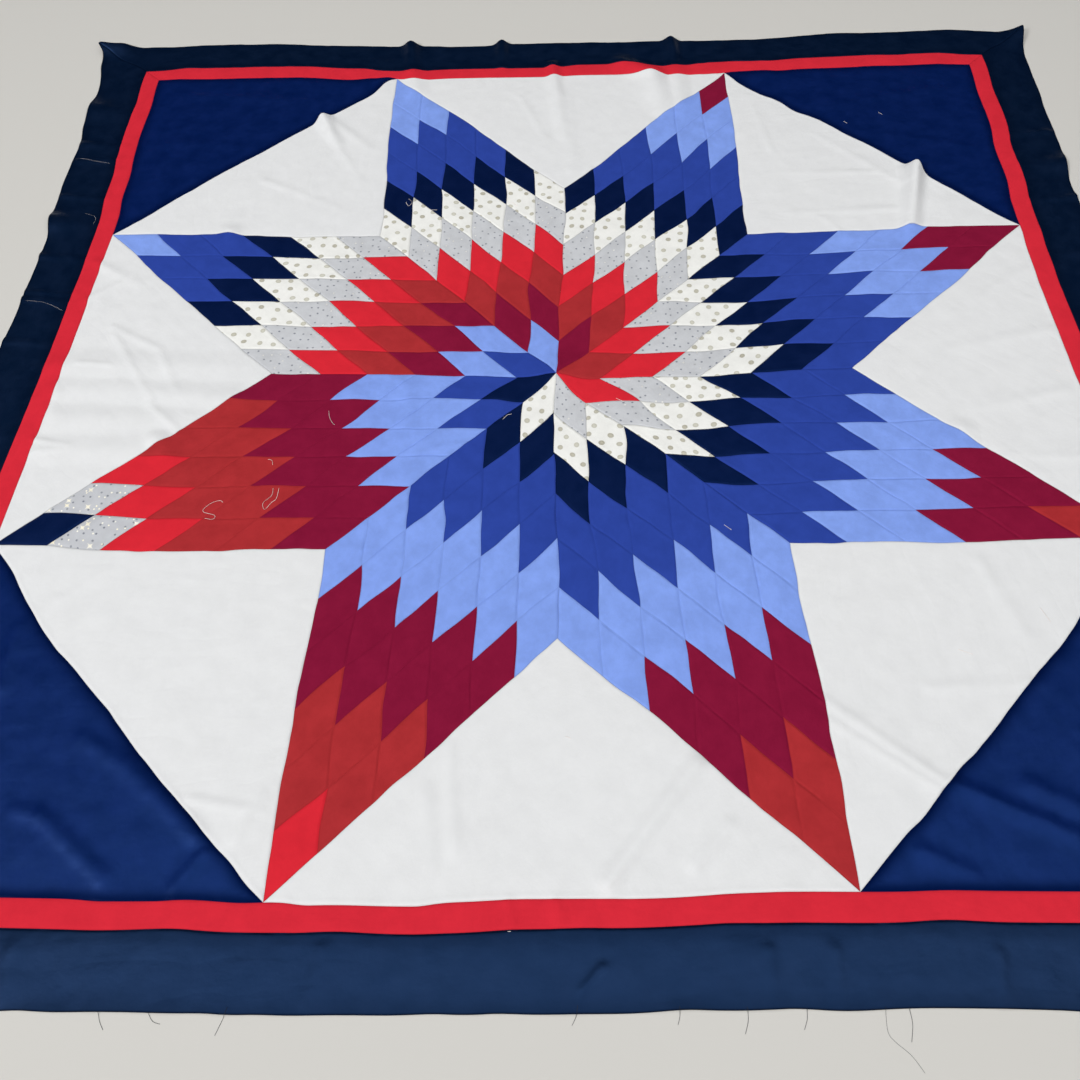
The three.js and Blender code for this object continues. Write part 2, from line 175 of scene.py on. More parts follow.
PULL_CORE = 60.0
PULLS = (
    # The star's centre, and its notches clockwise from the back
    Pull((0, 0), (-4, -10)),
    Pull((0, 539), (9, -17)),
    Pull((381, 381), (-1, -12)),
    Pull((539, 0), (-8, 0)),
    Pull((381, -381), (-12, 7)),
    Pull((0, -539), (-2, -4)),
    Pull((-381, -381), (3, -2)),
    Pull((-539, 0), (6, -1)),
    Pull((-381, 381), (12, -5)),
    # The star's tips, clockwise from the back left one
    Pull((-381, 920), (-6, 11)),
    Pull((381, 920), (7, 13)),
    Pull((920, 381), (4, 3)),
    Pull((920, -381), (-4, 12)),
    Pull((381, -920), (7, 11)),
    Pull((-381, -920), (-5, -6)),
    Pull((-920, -381), (-8, 9)),
    Pull((-920, 381), (-6, 12)),
    # Long sides of the front panels, and the left side of the front right point
    Pull((-760, -540), (-11, -10)),
    Pull((-550, -750), (-10, -11)),
    Pull((650, -650), (0, 0)),
    Pull((200, -730), (4, 6)),
    # Back red strip, left to right
    Pull((-939, 939), (-46, 34)),
    Pull((-700, 939), (0, 29)),
    Pull((-230, 939), (0, 18)),
    Pull((30, 939), (0, 17)),
    Pull((640, 939), (0, 27)),
    Pull((939, 939), (42, 34)),
    # Left red strip, back to middle
    Pull((-939, 760), (-37, 14)),
    Pull((-939, 560), (-22, 10)),
    Pull((-939, 150), (-7, 0)),
    # Right red strip, back to middle
    Pull((939, 760), (34, 14)),
    Pull((939, 560), (21, 8)),
    Pull((939, 150), (6, 0)),
    # Front red strip, left to right
    Pull((-600, -939), (0, -4)),
    Pull((-200, -939), (0, -6)),
    Pull((60, -939), (0, -2)),
    Pull((600, -939), (0, 13)),
    # Raw back edge, corner to corner
    Pull((-1066, 1066), (-60, 16)),
    Pull((-820, 1066), (-8, 25)),
    Pull((-430, 1066), (0, 17)),
    Pull((0, 1066), (0, 18)),
    Pull((380, 1066), (0, 11)),
    Pull((760, 1066), (6, 14)),
    Pull((1066, 1066), (46, 8)),
    # Raw left edge, back to middle
    Pull((-1066, 850), (-32, 3)),
    Pull((-1066, 600), (-19, 2)),
    Pull((-1066, 250), (3, 0)),
    # Raw right edge, back to middle
    Pull((1066, 850), (26, 2)),
    Pull((1066, 620), (15, 1)),
    Pull((1066, 430), (1, 0)),
    # Raw front edge, left to right
    Pull((-560, -1066), (0, 10)),
    Pull((-250, -1066), (0, 9)),
    Pull((60, -1066), (0, 13)),
    Pull((480, -1066), (0, 23)),
    # Front corners
    Pull((-1066, -1066), (-14, 4)),
    Pull((1066, -1066), (14, 10)),
)

TUGS = (
    # Back border's seam and red strip
    Tug((-860, 958), (-480, 958), (0, 14), 40),
    Tug((50, 958), (140, 958), (0, 10), 42),
    Tug((400, 958), (860, 958), (0, 11), 42),
    Tug((760, 940), (810, 940), (0, 10), 60),
    Tug((-440, 922), (-405, 922), (0, 9), 30),
    Tug((415, 922), (470, 922), (0, 10), 34),
    Tug((325, 955), (345, 955), (0, 9), 32),
    # Raw back edge, with the spike of its left corner first
    Tug((-1068, 1066), (-1062, 1066), (-13, 3), 13),
    Tug((-1000, 1066), (-990, 1066), (0, 8), 45),
    Tug((-860, 1066), (-700, 1066), (0, 7), 60),
    Tug((-400, 1066), (150, 1066), (0, -6), 55),
    Tug((-260, 1066), (-190, 1066), (0, -6), 40),
    Tug((700, 1066), (1000, 1066), (0, 16), 90),
    # Back corner panels, by the tips and along their long sides
    Tug((-408, 893), (-404, 897), (0, 16), 24),
    Tug((415, 885), (455, 845), (-3, -8), 34),
    Tug((525, 776), (527, 774), (-3, -6), 26),
    Tug((575, 725), (590, 710), (2, 3), 26),
    # Front panels and corner panels, along their long sides
    Tug((-830, -470), (-560, -740), (-2, -2), 60),
    Tug((-450, -850), (-410, -890), (-2, -4), 35),
    Tug((480, -822), (525, -776), (2, -3), 34),
    # Left border: bays of the raw edge, and swells of the red strip
    Tug((-1066, 712), (-1066, 706), (6, 0), 40),
    Tug((-1066, 500), (-1066, 400), (5, 0), 50),
    Tug((-1066, 120), (-1066, 60), (7, 0), 70),
    Tug((-940, 638), (-940, 630), (-7, 0), 38),
    Tug((-940, 430), (-940, 250), (-5, 0), 50),
    # Right border: bays of the raw edge, and the red strip
    Tug((1066, 995), (1066, 985), (-8, 0), 45),
    Tug((1066, 770), (1066, 758), (-7, 0), 45),
    Tug((1066, 560), (1066, 530), (-8, 0), 50),
    Tug((939, 425), (939, 370), (6, 0), 42),
    Tug((939, 200), (939, 0), (-5, 0), 60),
    # Raw front edge, left to right
    Tug((-700, -1066), (-680, -1066), (0, 5), 40),
    Tug((-425, -1066), (-385, -1066), (0, 5), 45),
    Tug((-140, -1066), (-90, -1066), (0, 6), 50),
    Tug((170, -1066), (270, -1066), (0, 8), 60),
    Tug((620, -1066), (700, -1066), (0, 4), 60),
    # Front border's seams
    Tug((40, -958), (200, -958), (0, 4), 45),
    Tug((-600, -920), (-530, -920), (0, -3), 32),
    Tug((-320, -920), (-190, -920), (0, -5), 30),
    # Star, right of the centre
    Tug((75, 5), (160, 62), (-12, -10), 62),
    Tug((250, 75), (350, 120), (-7, -10), 75),
    Tug((215, -85), (290, -180), (-11, -11), 68),
    Tug((105, -95), (140, -110), (-10, 7), 42),
    Tug((290, 0), (410, -45), (-5, -9), 58),
    Tug((330, -270), (420, -210), (-1, -9), 58),
    # Star, in front of the centre
    Tug((45, -90), (62, -300), (-11, -1), 66),
    Tug((127, -205), (127, -400), (-7, 1), 50),
    # Star, left of the centre
    Tug((-75, 5), (-170, 45), (15, -6), 60),
    Tug((-150, -66), (-245, -68), (13, 6), 48),
    Tug((-215, 125), (-245, 70), (13, -5), 58),
    Tug((-330, 70), (-490, 110), (6, -8), 58),
    Tug((-300, -110), (-490, -120), (6, -3), 58),
    # Star, behind the centre
    Tug((110, 130), (170, 260), (-1, -9), 75),
    Tug((0, 250), (50, 320), (3, -9), 50),
    Tug((-60, 110), (-68, 155), (10, -11), 52),
    Tug((-150, 290), (-290, 220), (4, -8), 62),
    Tug((254, 420), (254, 610), (7, -6), 62),
    Tug((300, 190), (390, 200), (-6, -7), 55),
    Tug((-75, 350), (-120, 500), (6, 1), 50),
    Tug((-254, 523), (-318, 497), (-4, 6), 50),
    Tug((0, 430), (0, 480), (2, 8), 40),
    # Back right panel, by its notch
    Tug((640, 370), (670, 385), (-12, -8), 34),
)

REST_LEVEL = 0.5
FOLD_MEETING = 4
FOLDS = (
    # Puckers of the back border, left to right, and the folds that run on from them
    Ridge((-365, 1085), (-353, 985), (16, 6), 17),
    Ridge((-350, 955), (-332, 850), (9, 3), 24),
    Ridge((-142, 1080), (-139, 985), (14, 4), 14),
    Ridge((-18, 985), (6, 700), (9, 3), 15),
    Ridge((150, 990), (213, 935), (8, 16), 26),
    Ridge((213, 935), (235, 800), (15, 4), 30),
    Ridge((269, 1080), (273, 985), (14, 5), 15),
    Ridge((273, 985), (279, 815), (5, 5), 22),
    # Back corners, curled
    Ridge((-1130, 1092), (-1086, 1088), (24, 17), 30),
    Ridge((1118, 1078), (1088, 1048), (24, 8), 30),
    # Puckers of the left and the right edge
    Ridge((-1075, 432), (-1000, 425), (14, 3), 30),
    Ridge((-1098, 835), (-1005, 818), (10, 3), 36),
    Ridge((1078, 578), (1005, 568), (10, 3), 30),
    # Tall fold of the back right panel's seam
    Ridge((752, 562), (711, 388), (27, 12), 17),
    # Tuck in the seam of the back left panel
    Ridge((-542, 777), (-496, 690), (17, 4), 15),
    # Edges of the left and the right points
    Ridge((-684, 390), (-690, 345), (8, 3), 24),
    Ridge((-708, -156), (-672, -205), (8, 3), 22),
    Ridge((690, -145), (660, -195), (6, 2), 22),
    # Centre of the star, and the fold from it
    Ridge((-4, -10), (-6, -12), (8, 8), 44),
    Ridge((-24, -28), (-76, -150), (6, 2), 34),
    # Folds of the left panel, back to front
    Ridge((-933, 24), (-612, 18), (5, 3), 30),
    Ridge((-918, -32), (-596, -62), (4, 5), 28),
    Ridge((-895, -107), (-641, -109), (5, 3), 30),
    Ridge((-911, -174), (-715, -176), (4, 3), 28),
)

CREASES = (
    # Back right panel, the crease from the tall fold first
    Ridge((700, 380), (620, 300), (2.5, 0.6), 9),
    Ridge((720, 520), (560, 700), (1.6, 0.8), 10),
    Ridge((690, 440), (470, 430), (1.8, 0.6), 9),
    Ridge((670, 560), (480, 560), (1.4, 0.6), 9),
    Ridge((600, 330), (520, 440), (1.2, 0.5), 7),
    Ridge((460, 640), (440, 800), (1.3, 0.5), 8),
    # Back panel
    Ridge((14, 843), (26, 584), (1.6, 1.2), 16),
    Ridge((-90, 850), (-30, 690), (1.3, 0.5), 9),
    # Back left panel, the fold from the tuck first
    Ridge((-535, 790), (-422, 667), (3.2, 1.2), 13),
    Ridge((-520, 720), (-430, 560), (1.8, 0.6), 9),
    Ridge((-640, 560), (-470, 470), (1.6, 0.5), 10),
    # Left panel
    Ridge((-943, 308), (-842, 244), (2.4, 1.2), 11),
    Ridge((-859, 122), (-754, 63), (1.8, 1.5), 8),
    Ridge((-754, 63), (-701, -37), (1.5, 1.0), 8),
    Ridge((-740, -73), (-671, -139), (1.9, 1.2), 7),
    Ridge((-897, 27), (-834, 21), (1.9, 1.2), 5),
    Ridge((-850, 104), (-721, -92), (1.6, 0.8), 7),
    Ridge((-931, 200), (-856, 265), (1.8, 1.0), 9),
    Ridge((-931, -152), (-863, -168), (1.9, 1.3), 5),
    Ridge((-913, -47), (-914, -95), (1.6, 1.0), 7),
    Ridge((-918, -181), (-871, -177), (1.5, 1.1), 5),
    # Right panel, back to front
    Ridge((900, 250), (730, 130), (1.6, 0.6), 12),
    Ridge((905, 90), (700, 40), (1.8, 0.6), 13),
    Ridge((890, -60), (730, -100), (1.9, 0.7), 12),
    Ridge((900, -210), (760, -200), (1.6, 0.6), 10),
    # Front right panel, the double crease first
    Ridge((381, -644), (526, -764), (1.4, 2.4), 9),
    Ridge((656, -411), (695, -538), (1.5, 1.0), 13),
    Ridge((537, -625), (696, -617), (1.5, 1.0), 10),
    Ridge((372, -668), (515, -771), (1.2, 2.0), 9),
    # Front left panel, two wrinkles by the tip and one by the long side
    Ridge((-512, -792), (-408, -808), (2.2, 1.5), 7),
    Ridge((-438, -844), (-412, -785), (2.4, 1.4), 9),
    Ridge((-787, -475), (-722, -420), (1.4, 0.8), 10),
    # Front panel, two soft folds on the right and two on the left
    Ridge((63, -900), (190, -739), (5.0, 3.6), 12),
    Ridge((179, -876), (225, -825), (3.4, 2.4), 12),
    Ridge((-185, -777), (-170, -878), (1.4, 1.2), 11),
    Ridge((-158, -714), (-140, -856), (1.0, 1.5), 10),
    # Back left corner panel
    Ridge((-860, 880), (-560, 850), (2.6, 1.0), 17),
    Ridge((-880, 700), (-700, 690), (2.2, 0.8), 14),
    # Back right corner panel
    Ridge((870, 860), (600, 800), (2.4, 1.0), 17),
    Ridge((890, 640), (720, 690), (2.0, 0.8), 13),
    # Front left corner panel, along its long side
    Ridge((-685, -704), (-616, -743), (2.4, 3.0), 14),
    Ridge((-616, -743), (-490, -840), (3.0, 3.4), 15),
    # Front right corner panel, the longest fold
    Ridge((540, -768), (682, -838), (3.6, 3.0), 13),
    # Front left corner panel, low folds
    Ridge((-754, -806), (-716, -815), (1.6, 2.4), 11),
    Ridge((-716, -815), (-605, -898), (3.0, 2.8), 12),
    Ridge((-476, -864), (-506, -907), (2.4, 2.0), 10),
    Ridge((-831, -625), (-838, -526), (2.4, 2.0), 13),
    # Front right corner panel, shorter folds
    Ridge((640, -770), (700, -800), (2.4, 2.0), 14),
    Ridge((478, -858), (536, -886), (2.8, 2.0), 11),
    # Left edge
    Ridge((-1075, 700), (-970, 690), (3, 1), 12),
    Ridge((-1070, 640), (-965, 646), (2.5, 1), 10),
    Ridge((-1070, 520), (-968, 505), (2.2, 0.8), 9),
    Ridge((-1068, 330), (-970, 318), (2.4, 0.8), 10),
    Ridge((-1070, 205), (-968, 190), (2.5, 1), 10),
    Ridge((-1068, 225), (-970, 215), (1.8, 1), 7),
    Ridge((-1068, 90), (-970, 80), (1.8, 0.6), 9),
    # Right edge
    Ridge((1068, 690), (975, 680), (2.4, 0.8), 10),
    Ridge((1068, 470), (972, 455), (2.2, 0.8), 10),
    Ridge((1068, 300), (972, 290), (1.8, 0.6), 9),
    # Front edge
    Ridge((53, -1002), (28, -1029), (2.6, 1.8), 6),
    Ridge((262, -980), (260, -1035), (1.8, 1.2), 9),
    Ridge((344, -980), (340, -1030), (1.8, 1.0), 10),
    Ridge((546, -982), (537, -1040), (1.6, 1.0), 9),
    Ridge((-300, -985), (-310, -1045), (1.5, 1.0), 11),
    Ridge((-700, -985), (-690, -1040), (1.5, 1.0), 12),
    # Front red strip
    Ridge((-67, -924), (-61, -952), (1.6, 1.0), 7),
    Ridge((-5, -924), (0, -950), (1.6, 1.0), 8),
    # Periwinkle patches left of the centre
    Ridge((-268, -66), (-274, -185), (2.2, 0.8), 9),
    Ridge((-285, -20), (-278, -66), (1.8, 0.8), 6),
    Ridge((-231, -185), (-152, -164), (1.8, 0.8), 6),
    # Rust patches of the left point
    Ridge((-561, -217), (-536, -321), (2.2, 1.2), 9),
    Ridge((-532, -221), (-510, -317), (2.0, 1.0), 9),
)


def smooth_step(edge0: float, edge1: float, x: np.ndarray) -> np.ndarray:
    """Eases from 0 to 1 between two values.

    Args:
        edge0: where it leaves 0.
        edge1: where it reaches 1.
        x: the values.

    Returns:
        The eased values.
    """
    part = np.clip((x - edge0) / (edge1 - edge0), 0, 1)
    return part * part * (3 - 2 * part)


def bell(distance: np.ndarray, width: float) -> np.ndarray:
    """A bell curve: 1 on a line, and almost 0 at twice its width."""
    return np.exp(-((distance / width) ** 2))


def soft_noise(points: np.ndarray, step: float, seed: int) -> np.ndarray:
    """Seeded value noise over the plane.

    Args:
        points: places, one row each.
        step: distance between independent values.
        seed: picks the pattern.

    Returns:
        Values from about -1 to 1.
    """
    size = 256
    table = np.random.default_rng(seed).uniform(-1, 1, (size, size))
    cell = np.floor(points / step).astype(int)
    part = smooth_step(0, 1, points / step - cell)
    x0, y0 = cell[:, 0] % size, cell[:, 1] % size
    x1, y1 = (x0 + 1) % size, (y0 + 1) % size
    low = table[x0, y0] * (1 - part[:, 0]) + table[x1, y0] * part[:, 0]
    high = table[x0, y1] * (1 - part[:, 0]) + table[x1, y1] * part[:, 0]
    return low * (1 - part[:, 1]) + high * part[:, 1]


@dataclass(frozen=True)
class TwoNoises:
    """Soft noise with a weaker and finer one on it."""

    step: float
    finer_step: float
    finer_share: float

    def at(self, points: np.ndarray, seed: int) -> np.ndarray:
        """The noise at places of the plane.

        Args:
            points: places, one row each.
            seed: picks the pattern of both.

        Returns:
            One value for each place.
        """
        finer = soft_noise(points, self.finer_step, seed + 1)
        return soft_noise(points, self.step, seed) + self.finer_share * finer


def beside(places: np.ndarray, start: Place, end: Place) -> tuple:
    """How places lie beside a straight run.

    Args:
        places: the places, one row each.
        start: where the run starts.
        end: where it ends.

    Returns:
        How far along the run the nearest point lies, from 0 to 1, and the distance from it.
    """
    first = np.array(start, float)
    run = np.array(end, float) - first
    part = np.clip(((places - first) @ run) / (run @ run), 0, 1)
    return part, np.linalg.norm(places - first - part[:, None] * run, axis=1)


@dataclass(frozen=True)
class LaidCloth:
    """The whole cloth once it is laid: where each point of the cut pattern comes to rest."""

    rest: float = 1.2
    wave: float = 0.9
    wave_trough: float = 0.3
    waves: TwoNoises = TwoNoises(140.0, 62.0, 0.6)
    crinkle: float = 0.42
    crinkles: TwoNoises = TwoNoises(24.0, 11.0, 0.5)
    crease_share: float = 1.35
    lowest: float = 0.1
    wander: float = 1.8
    wanders: TwoNoises = TwoNoises(55.0, 55.0 / 2.2, 0.45)
    wander_reach: float = 900.0
    wander_fade: float = 60.0

    def shifted(self, cut: np.ndarray) -> np.ndarray:
        """Place in the plane of points of the cut pattern.

        Args:
            cut: places in the cut pattern, one row each.

        Returns:
            Their places on the floor, round the star's centre.
        """
        total = np.zeros(len(cut))
        shift = np.zeros((len(cut), 2))
        for pull in PULLS:
            distance2 = ((cut - np.array(pull.at)) ** 2).sum(axis=1)
            weight = 1 / (distance2 + PULL_CORE**2) ** 2
            shift += weight[:, None] * np.array(pull.by)
            total += weight
        shift /= total[:, None]
        for tug in TUGS:
            off = beside(cut, tug.start, tug.end)[1]
            shift += bell(off, tug.reach)[:, None] * np.array(tug.by)
        return cut + shift + self.wandering(cut)

    def wandering(self, cut: np.ndarray) -> np.ndarray:
        """Small shift of the star's patches, as no seam is sewn quite straight.

        Args:
            cut: places in the cut pattern, one row each.

        Returns:
            A shift for each place, and none near the borders.
        """
        reach = np.abs(cut).max(axis=1)
        star = 1 - smooth_step(self.wander_reach - self.wander_fade, self.wander_reach, reach)
        seeds = (Seed.WANDER_ACROSS, Seed.WANDER_ALONG)
        return self.wander * star[:, None] * np.column_stack([self.wanders.at(cut, seed) for seed in seeds])

    @staticmethod
    def crests(laid: np.ndarray, ridges: tuple[Ridge, ...]) -> np.ndarray:
        """Height of soft ridges that run into each other where they meet.

        Args:
            laid: places on the floor.
            ridges: the ridges.

        Returns:
            One height for each place.
        """
        total = np.zeros(len(laid))
        for ridge in ridges:
            part, off = beside(laid, ridge.start, ridge.end)
            crest = ridge.rise[0] + (ridge.rise[1] - ridge.rise[0]) * part
            total += (crest * bell(off, ridge.width)) ** FOLD_MEETING
        return total ** (1 / FOLD_MEETING)

    def height(self, laid: np.ndarray) -> np.ndarray:
        """Height of the cloth over the floor, without its seams.

        Args:
            laid: places on the floor.

        Returns:
            One height for each place.
        """
        folds = np.maximum(0, self.crests(laid, FOLDS) - REST_LEVEL)
        waves = np.maximum(0, self.waves.at(laid, Seed.WAVES) + self.wave_trough)
        level = self.rest + self.wave * waves + self.crinkle * self.crinkles.at(laid, Seed.CRINKLES)
        return folds + level + self.crease_share * self.crests(laid, CREASES)

    def lay(self, cut: np.ndarray, relief: np.ndarray) -> np.ndarray:
        """Lays points of the cut pattern.

        Args:
            cut: places in the cut pattern.
            relief: height of the seams' relief there.

        Returns:
            Places in the row frame, in metres.
        """
        laid = self.shifted(cut)
        height = np.maximum(self.lowest, self.height(laid) + relief)
        return np.column_stack([laid - np.array(PATTERN.middle), height]) * MM


CLOTH = LaidCloth()


@dataclass(frozen=True)
class Seam:
    """Relief of lines of sewing and of the allowances pressed to one side under them, and the shade painted
    along the lines.
    """

    depth: float = 0.95
    width: float = 1.7
    allowance: float = 6.35
    allowance_rise: float = 0.28
    allowance_start: Place = (0.8, 2.4)
    allowance_fade: Place = (0.4, 1.4)
    pillow: float = 0.45
    pillow_width: float = 15.0
    pucker: float = 0.3
    pucker_step: float = 13.0
    pucker_stretch: float = 3.0
    pucker_start: float = 3.0
    pucker_reach: float = 12.0
    # Width of the painted shade along a line of sewing
    shade_width: float = 0.9

    def relief(
        self, distance: np.ndarray, along: np.ndarray, pressed: bool | np.ndarray, seed: int
    ) -> np.ndarray:
        """Height that a seam adds to the cloth beside it.

        Args:
            distance: distance from the seam.
            along: place along the seam.
            pressed: whether the allowances lie under this side, or under each place.
            seed: picks the puckers.

        Returns:
            One height for each place, and 0 far from the seam.
        """
        dip = -self.depth * bell(distance, self.width)
        side = -self.pillow * bell(distance, self.pillow_width)
        ripple = soft_noise(np.column_stack([along, distance / self.pucker_stretch]), self.pucker_step, seed)
        ripple = self.pucker * ripple * bell(distance, self.pucker_reach)
        ripple = ripple * smooth_step(0, self.pucker_start, distance)
        raised = self.allowance_rise * smooth_step(*self.allowance_start, distance)
        before, after = self.allowance_fade
        raised = raised * (1 - smooth_step(self.allowance - before, self.allowance + after, distance))
        return dip + side + ripple + raised * pressed

    def sewn(self, lines: list[tuple]) -> tuple[np.ndarray, np.ndarray]:
        """Relief that all the lines of sewing round a piece give it, and the shade painted along them.

        Args:
            lines: for each line the distance from it, the place along it, whether the allowances lie under
                this side, the seed of its puckers, and the weight of its shade.

        Returns:
            The height and the shade, from 0 to 1, at each place.
        """
        relief = sum(self.relief(*line[:4]) for line in lines)
        shades = [weight * bell(distance, self.shade_width) for distance, *_, weight in lines]
        return np.maximum(relief, -self.depth - self.pillow), np.maximum.reduce(shades)


SEAM = Seam()


# Cottons and their finishes

class Print(Enum):
    """What is printed on a cotton."""

    PLAIN = "plain"
    DOTS = "dots"
    FLECKS = "flecks"
    # Flecks, plus white and gold glints of light painted onto the foil, for the grey of the tips
    FLECKS_AND_GLINTS = "flecks and stars"


@dataclass(frozen=True)
class Finish:
    """The look of one cotton: its dye in sRGB, how uneven the dye is, its surface, and how dark the painted
    shade along its seams is.
    """

    name: str
    dye: Dye
    mottle: float = 0.05
    roughness: float = 0.85
    printed: Print = Print.PLAIN
    gloss: float = 0.05
    gloss_tint: tuple[float, float, float] = (1.0, 1.0, 1.0)
    # How far the painted shade along seams darkens this cotton
    seam_shade: float = 0.5
    wrinkle: float = 0.5


class Cotton(Enum):
    """The cottons of the star, by the letters that the charts use, and those of the rest."""

    NAVY = "n"
    ROYAL = "r"
    LIGHT = "l"
    BURGUNDY = "b"
    RUST = "u"
    RED = "e"
    GREY = "g"
    # The tips' grey: the same cloth as GREY, with glints of light on its foil painted into its colour
    PAINTED_GLINT_GREY = "s"
    DOTTED = "d"
    WHITE = "white"
    CORNER_NAVY = "corner navy"
    BORDER_RED = "border red"
    BORDER_NAVY = "border navy"


SATIN_BLUE = (0.12, 0.32, 1.0)
SATIN_BORDER = (0.16, 0.38, 1.0)
FINISHES = {
    Cotton.NAVY: Finish("diamond_navy", (1, 19, 62), 0.05, 0.5, gloss=0.4, gloss_tint=SATIN_BLUE),
    Cotton.ROYAL: Finish("royal_blue", (44, 69, 160), 0.03),
    Cotton.LIGHT: Finish("periwinkle", (132, 162, 238), 0.035),
    Cotton.BURGUNDY: Finish("burgundy", (132, 18, 54), 0.03, seam_shade=0.2),
    Cotton.RUST: Finish("rust_red", (172, 46, 50), 0.035, seam_shade=0.3),
    Cotton.RED: Finish("bright_red", (218, 40, 54), 0.02),
    Cotton.GREY: Finish("flecked_grey", (203, 205, 209), 0.03, 0.8, Print.FLECKS),
    # The tips' grey, with white and gold painted glints of light on its foil
    Cotton.PAINTED_GLINT_GREY: Finish("grey_painted_glints", (198, 200, 205), 0.03, 0.8, Print.FLECKS_AND_GLINTS),
    Cotton.DOTTED: Finish("dotted_cream", (242, 242, 238), 0.02, 0.8, Print.DOTS),
    Cotton.WHITE: Finish("setting_white", (230, 231, 232), 0.008, wrinkle=0.8),
    Cotton.CORNER_NAVY: Finish(
        "corner_navy", (1, 27, 86), 0.06, 0.38, gloss=0.8, gloss_tint=SATIN_BLUE, seam_shade=0.9
    ),
    Cotton.BORDER_RED: Finish("border_red", (216, 42, 58), 0.02),
    Cotton.BORDER_NAVY: Finish(
        "border_navy", (2, 20, 46), 0.07, 0.36, gloss=1.1, gloss_tint=SATIN_BORDER, seam_shade=0.9
    ),
}

# Cottons of each star point's rings, from the centre out to the tip, clockwise from the back right point
CHARTS = (
    "buegdnrrllb",
    "uegdnrrllbb",
    "egdnrrllbbu",
    "gdnrrllbbuu",
    "dnrrllbbuue",
    # This point's tip patches are the grey with painted glints, letter s
    "nrllbbuuesn",
    "rlbuegdnrrl",
    "lbuegdnrrll",
)


def linear(dye: Dye) -> Colour:
    """A shader's colour of an sRGB dye.

    Args:
        dye: red, green and blue from 0 to 255.

    Returns:
        The linear colour with alpha 1.
    """
    parts = [c / 255 for c in dye]
    made = [c / 12.92 if c <= 0.04045 else ((c + 0.055) / 1.055) ** 2.4 for c in parts]
    return (made[0], made[1], made[2], 1.0)


@dataclass(frozen=True)
class Foil:
    """One kind of foil spot, printed in diagonal rows.

    The spacing is in metres. The size is a spot's radius as a share of it, and loose is how far the spots
    stray from their rows, from 0 to 1. The edge is where a spot starts and where it is full, in radii. The
    channel is the part of the random colour that it takes its chance from. The metric is EUCLIDEAN for round
    spots and MINKOWSKI for stars of four rays.
    """

    spacing: float
    size: float
    loose: float
    edge: Place
    channel: str
    tones: tuple[Colour, Colour]
    cover: float = 1.0
    rimmed: bool = False
    # painted_glints: a few spots take a pale colour, a painted glint of light on the foil
    painted_glints: bool = False
    # share_shown: how many of the painted glints show
    share_shown: Place | None = None
    metric: str = "EUCLIDEAN"


# White and gold painted glints of light on foil, shown as spot colours without any metal shine
WHITE_GLINT = (1.0, 1.0, 1.0, 1.0)
GOLD_GLINT = (0.96, 0.9, 0.7, 1.0)
# Pale colour of the painted glints of light on a few flecks
PAINTED_GLINT_COLOUR = (0.95, 0.94, 0.9, 1.0)
DOT_TONES = (linear((203, 201, 184)), linear((214, 207, 180)))
FLECK_TONES = (linear((112, 118, 132)), linear((158, 162, 168)))
GLINT_TONES = (WHITE_GLINT, GOLD_GLINT)
GLINTS_SHOWN = (0.42, 0.46)

DOTS = Foil(0.0264, 0.2, 0.35, (1.08, 0.86), "Red", DOT_TONES, 0.74, rimmed=True)
FLECKS = Foil(0.0168, 0.122, 0.75, (1.15, 0.7), "Green", FLECK_TONES, 0.85, painted_glints=True)
SMALL_GLINTS = Foil(0.015, 1.0, 1.0, (0.13, 0.08), "Blue", GLINT_TONES, share_shown=GLINTS_SHOWN)
LARGE_GLINTS = Foil(
    0.03, 1.0, 1.0, (0.36, 0.16), "Blue", GLINT_TONES, share_shown=GLINTS_SHOWN, metric="MINKOWSKI"
)
FOILS = {
    Print.PLAIN: (),
    Print.DOTS: (DOTS,),
    Print.FLECKS: (FLECKS,),
    Print.FLECKS_AND_GLINTS: (FLECKS, SMALL_GLINTS, LARGE_GLINTS),
}


def plain_material(name: str, dye: Dye, roughness: float, gloss: float) -> bpy.types.Material:
    """A matt material of one colour, for the threads and the floor.

    Args:
        name: the material's name.
        dye: its sRGB colour.
        roughness: its roughness.
        gloss: its specular level.

    Returns:
        The material.
    """
    material = bpy.data.materials.new(name)
    material.use_nodes = True
    shader = material.node_tree.nodes["Principled BSDF"]
    shader.inputs["Base Color"].default_value = linear(dye)
    shader.inputs["Roughness"].default_value = roughness
    shader.inputs["Specular IOR Level"].default_value = gloss
    return material


def made_object(name: str, mesh_name: str, bm: bmesh.types.BMesh) -> bpy.types.Object:
    """Turns an edited mesh into an object at the origin.

    Args:
        name: the object's name.
        mesh_name: its mesh's name.
        bm: the edited mesh, which is freed.

    Returns:
        The object.
    """
    mesh = bpy.data.meshes.new(mesh_name)
    bm.to_mesh(mesh)
    bm.free()
    made = bpy.data.objects.new(name, mesh)
    bpy.context.scene.collection.objects.link(made)
    return made


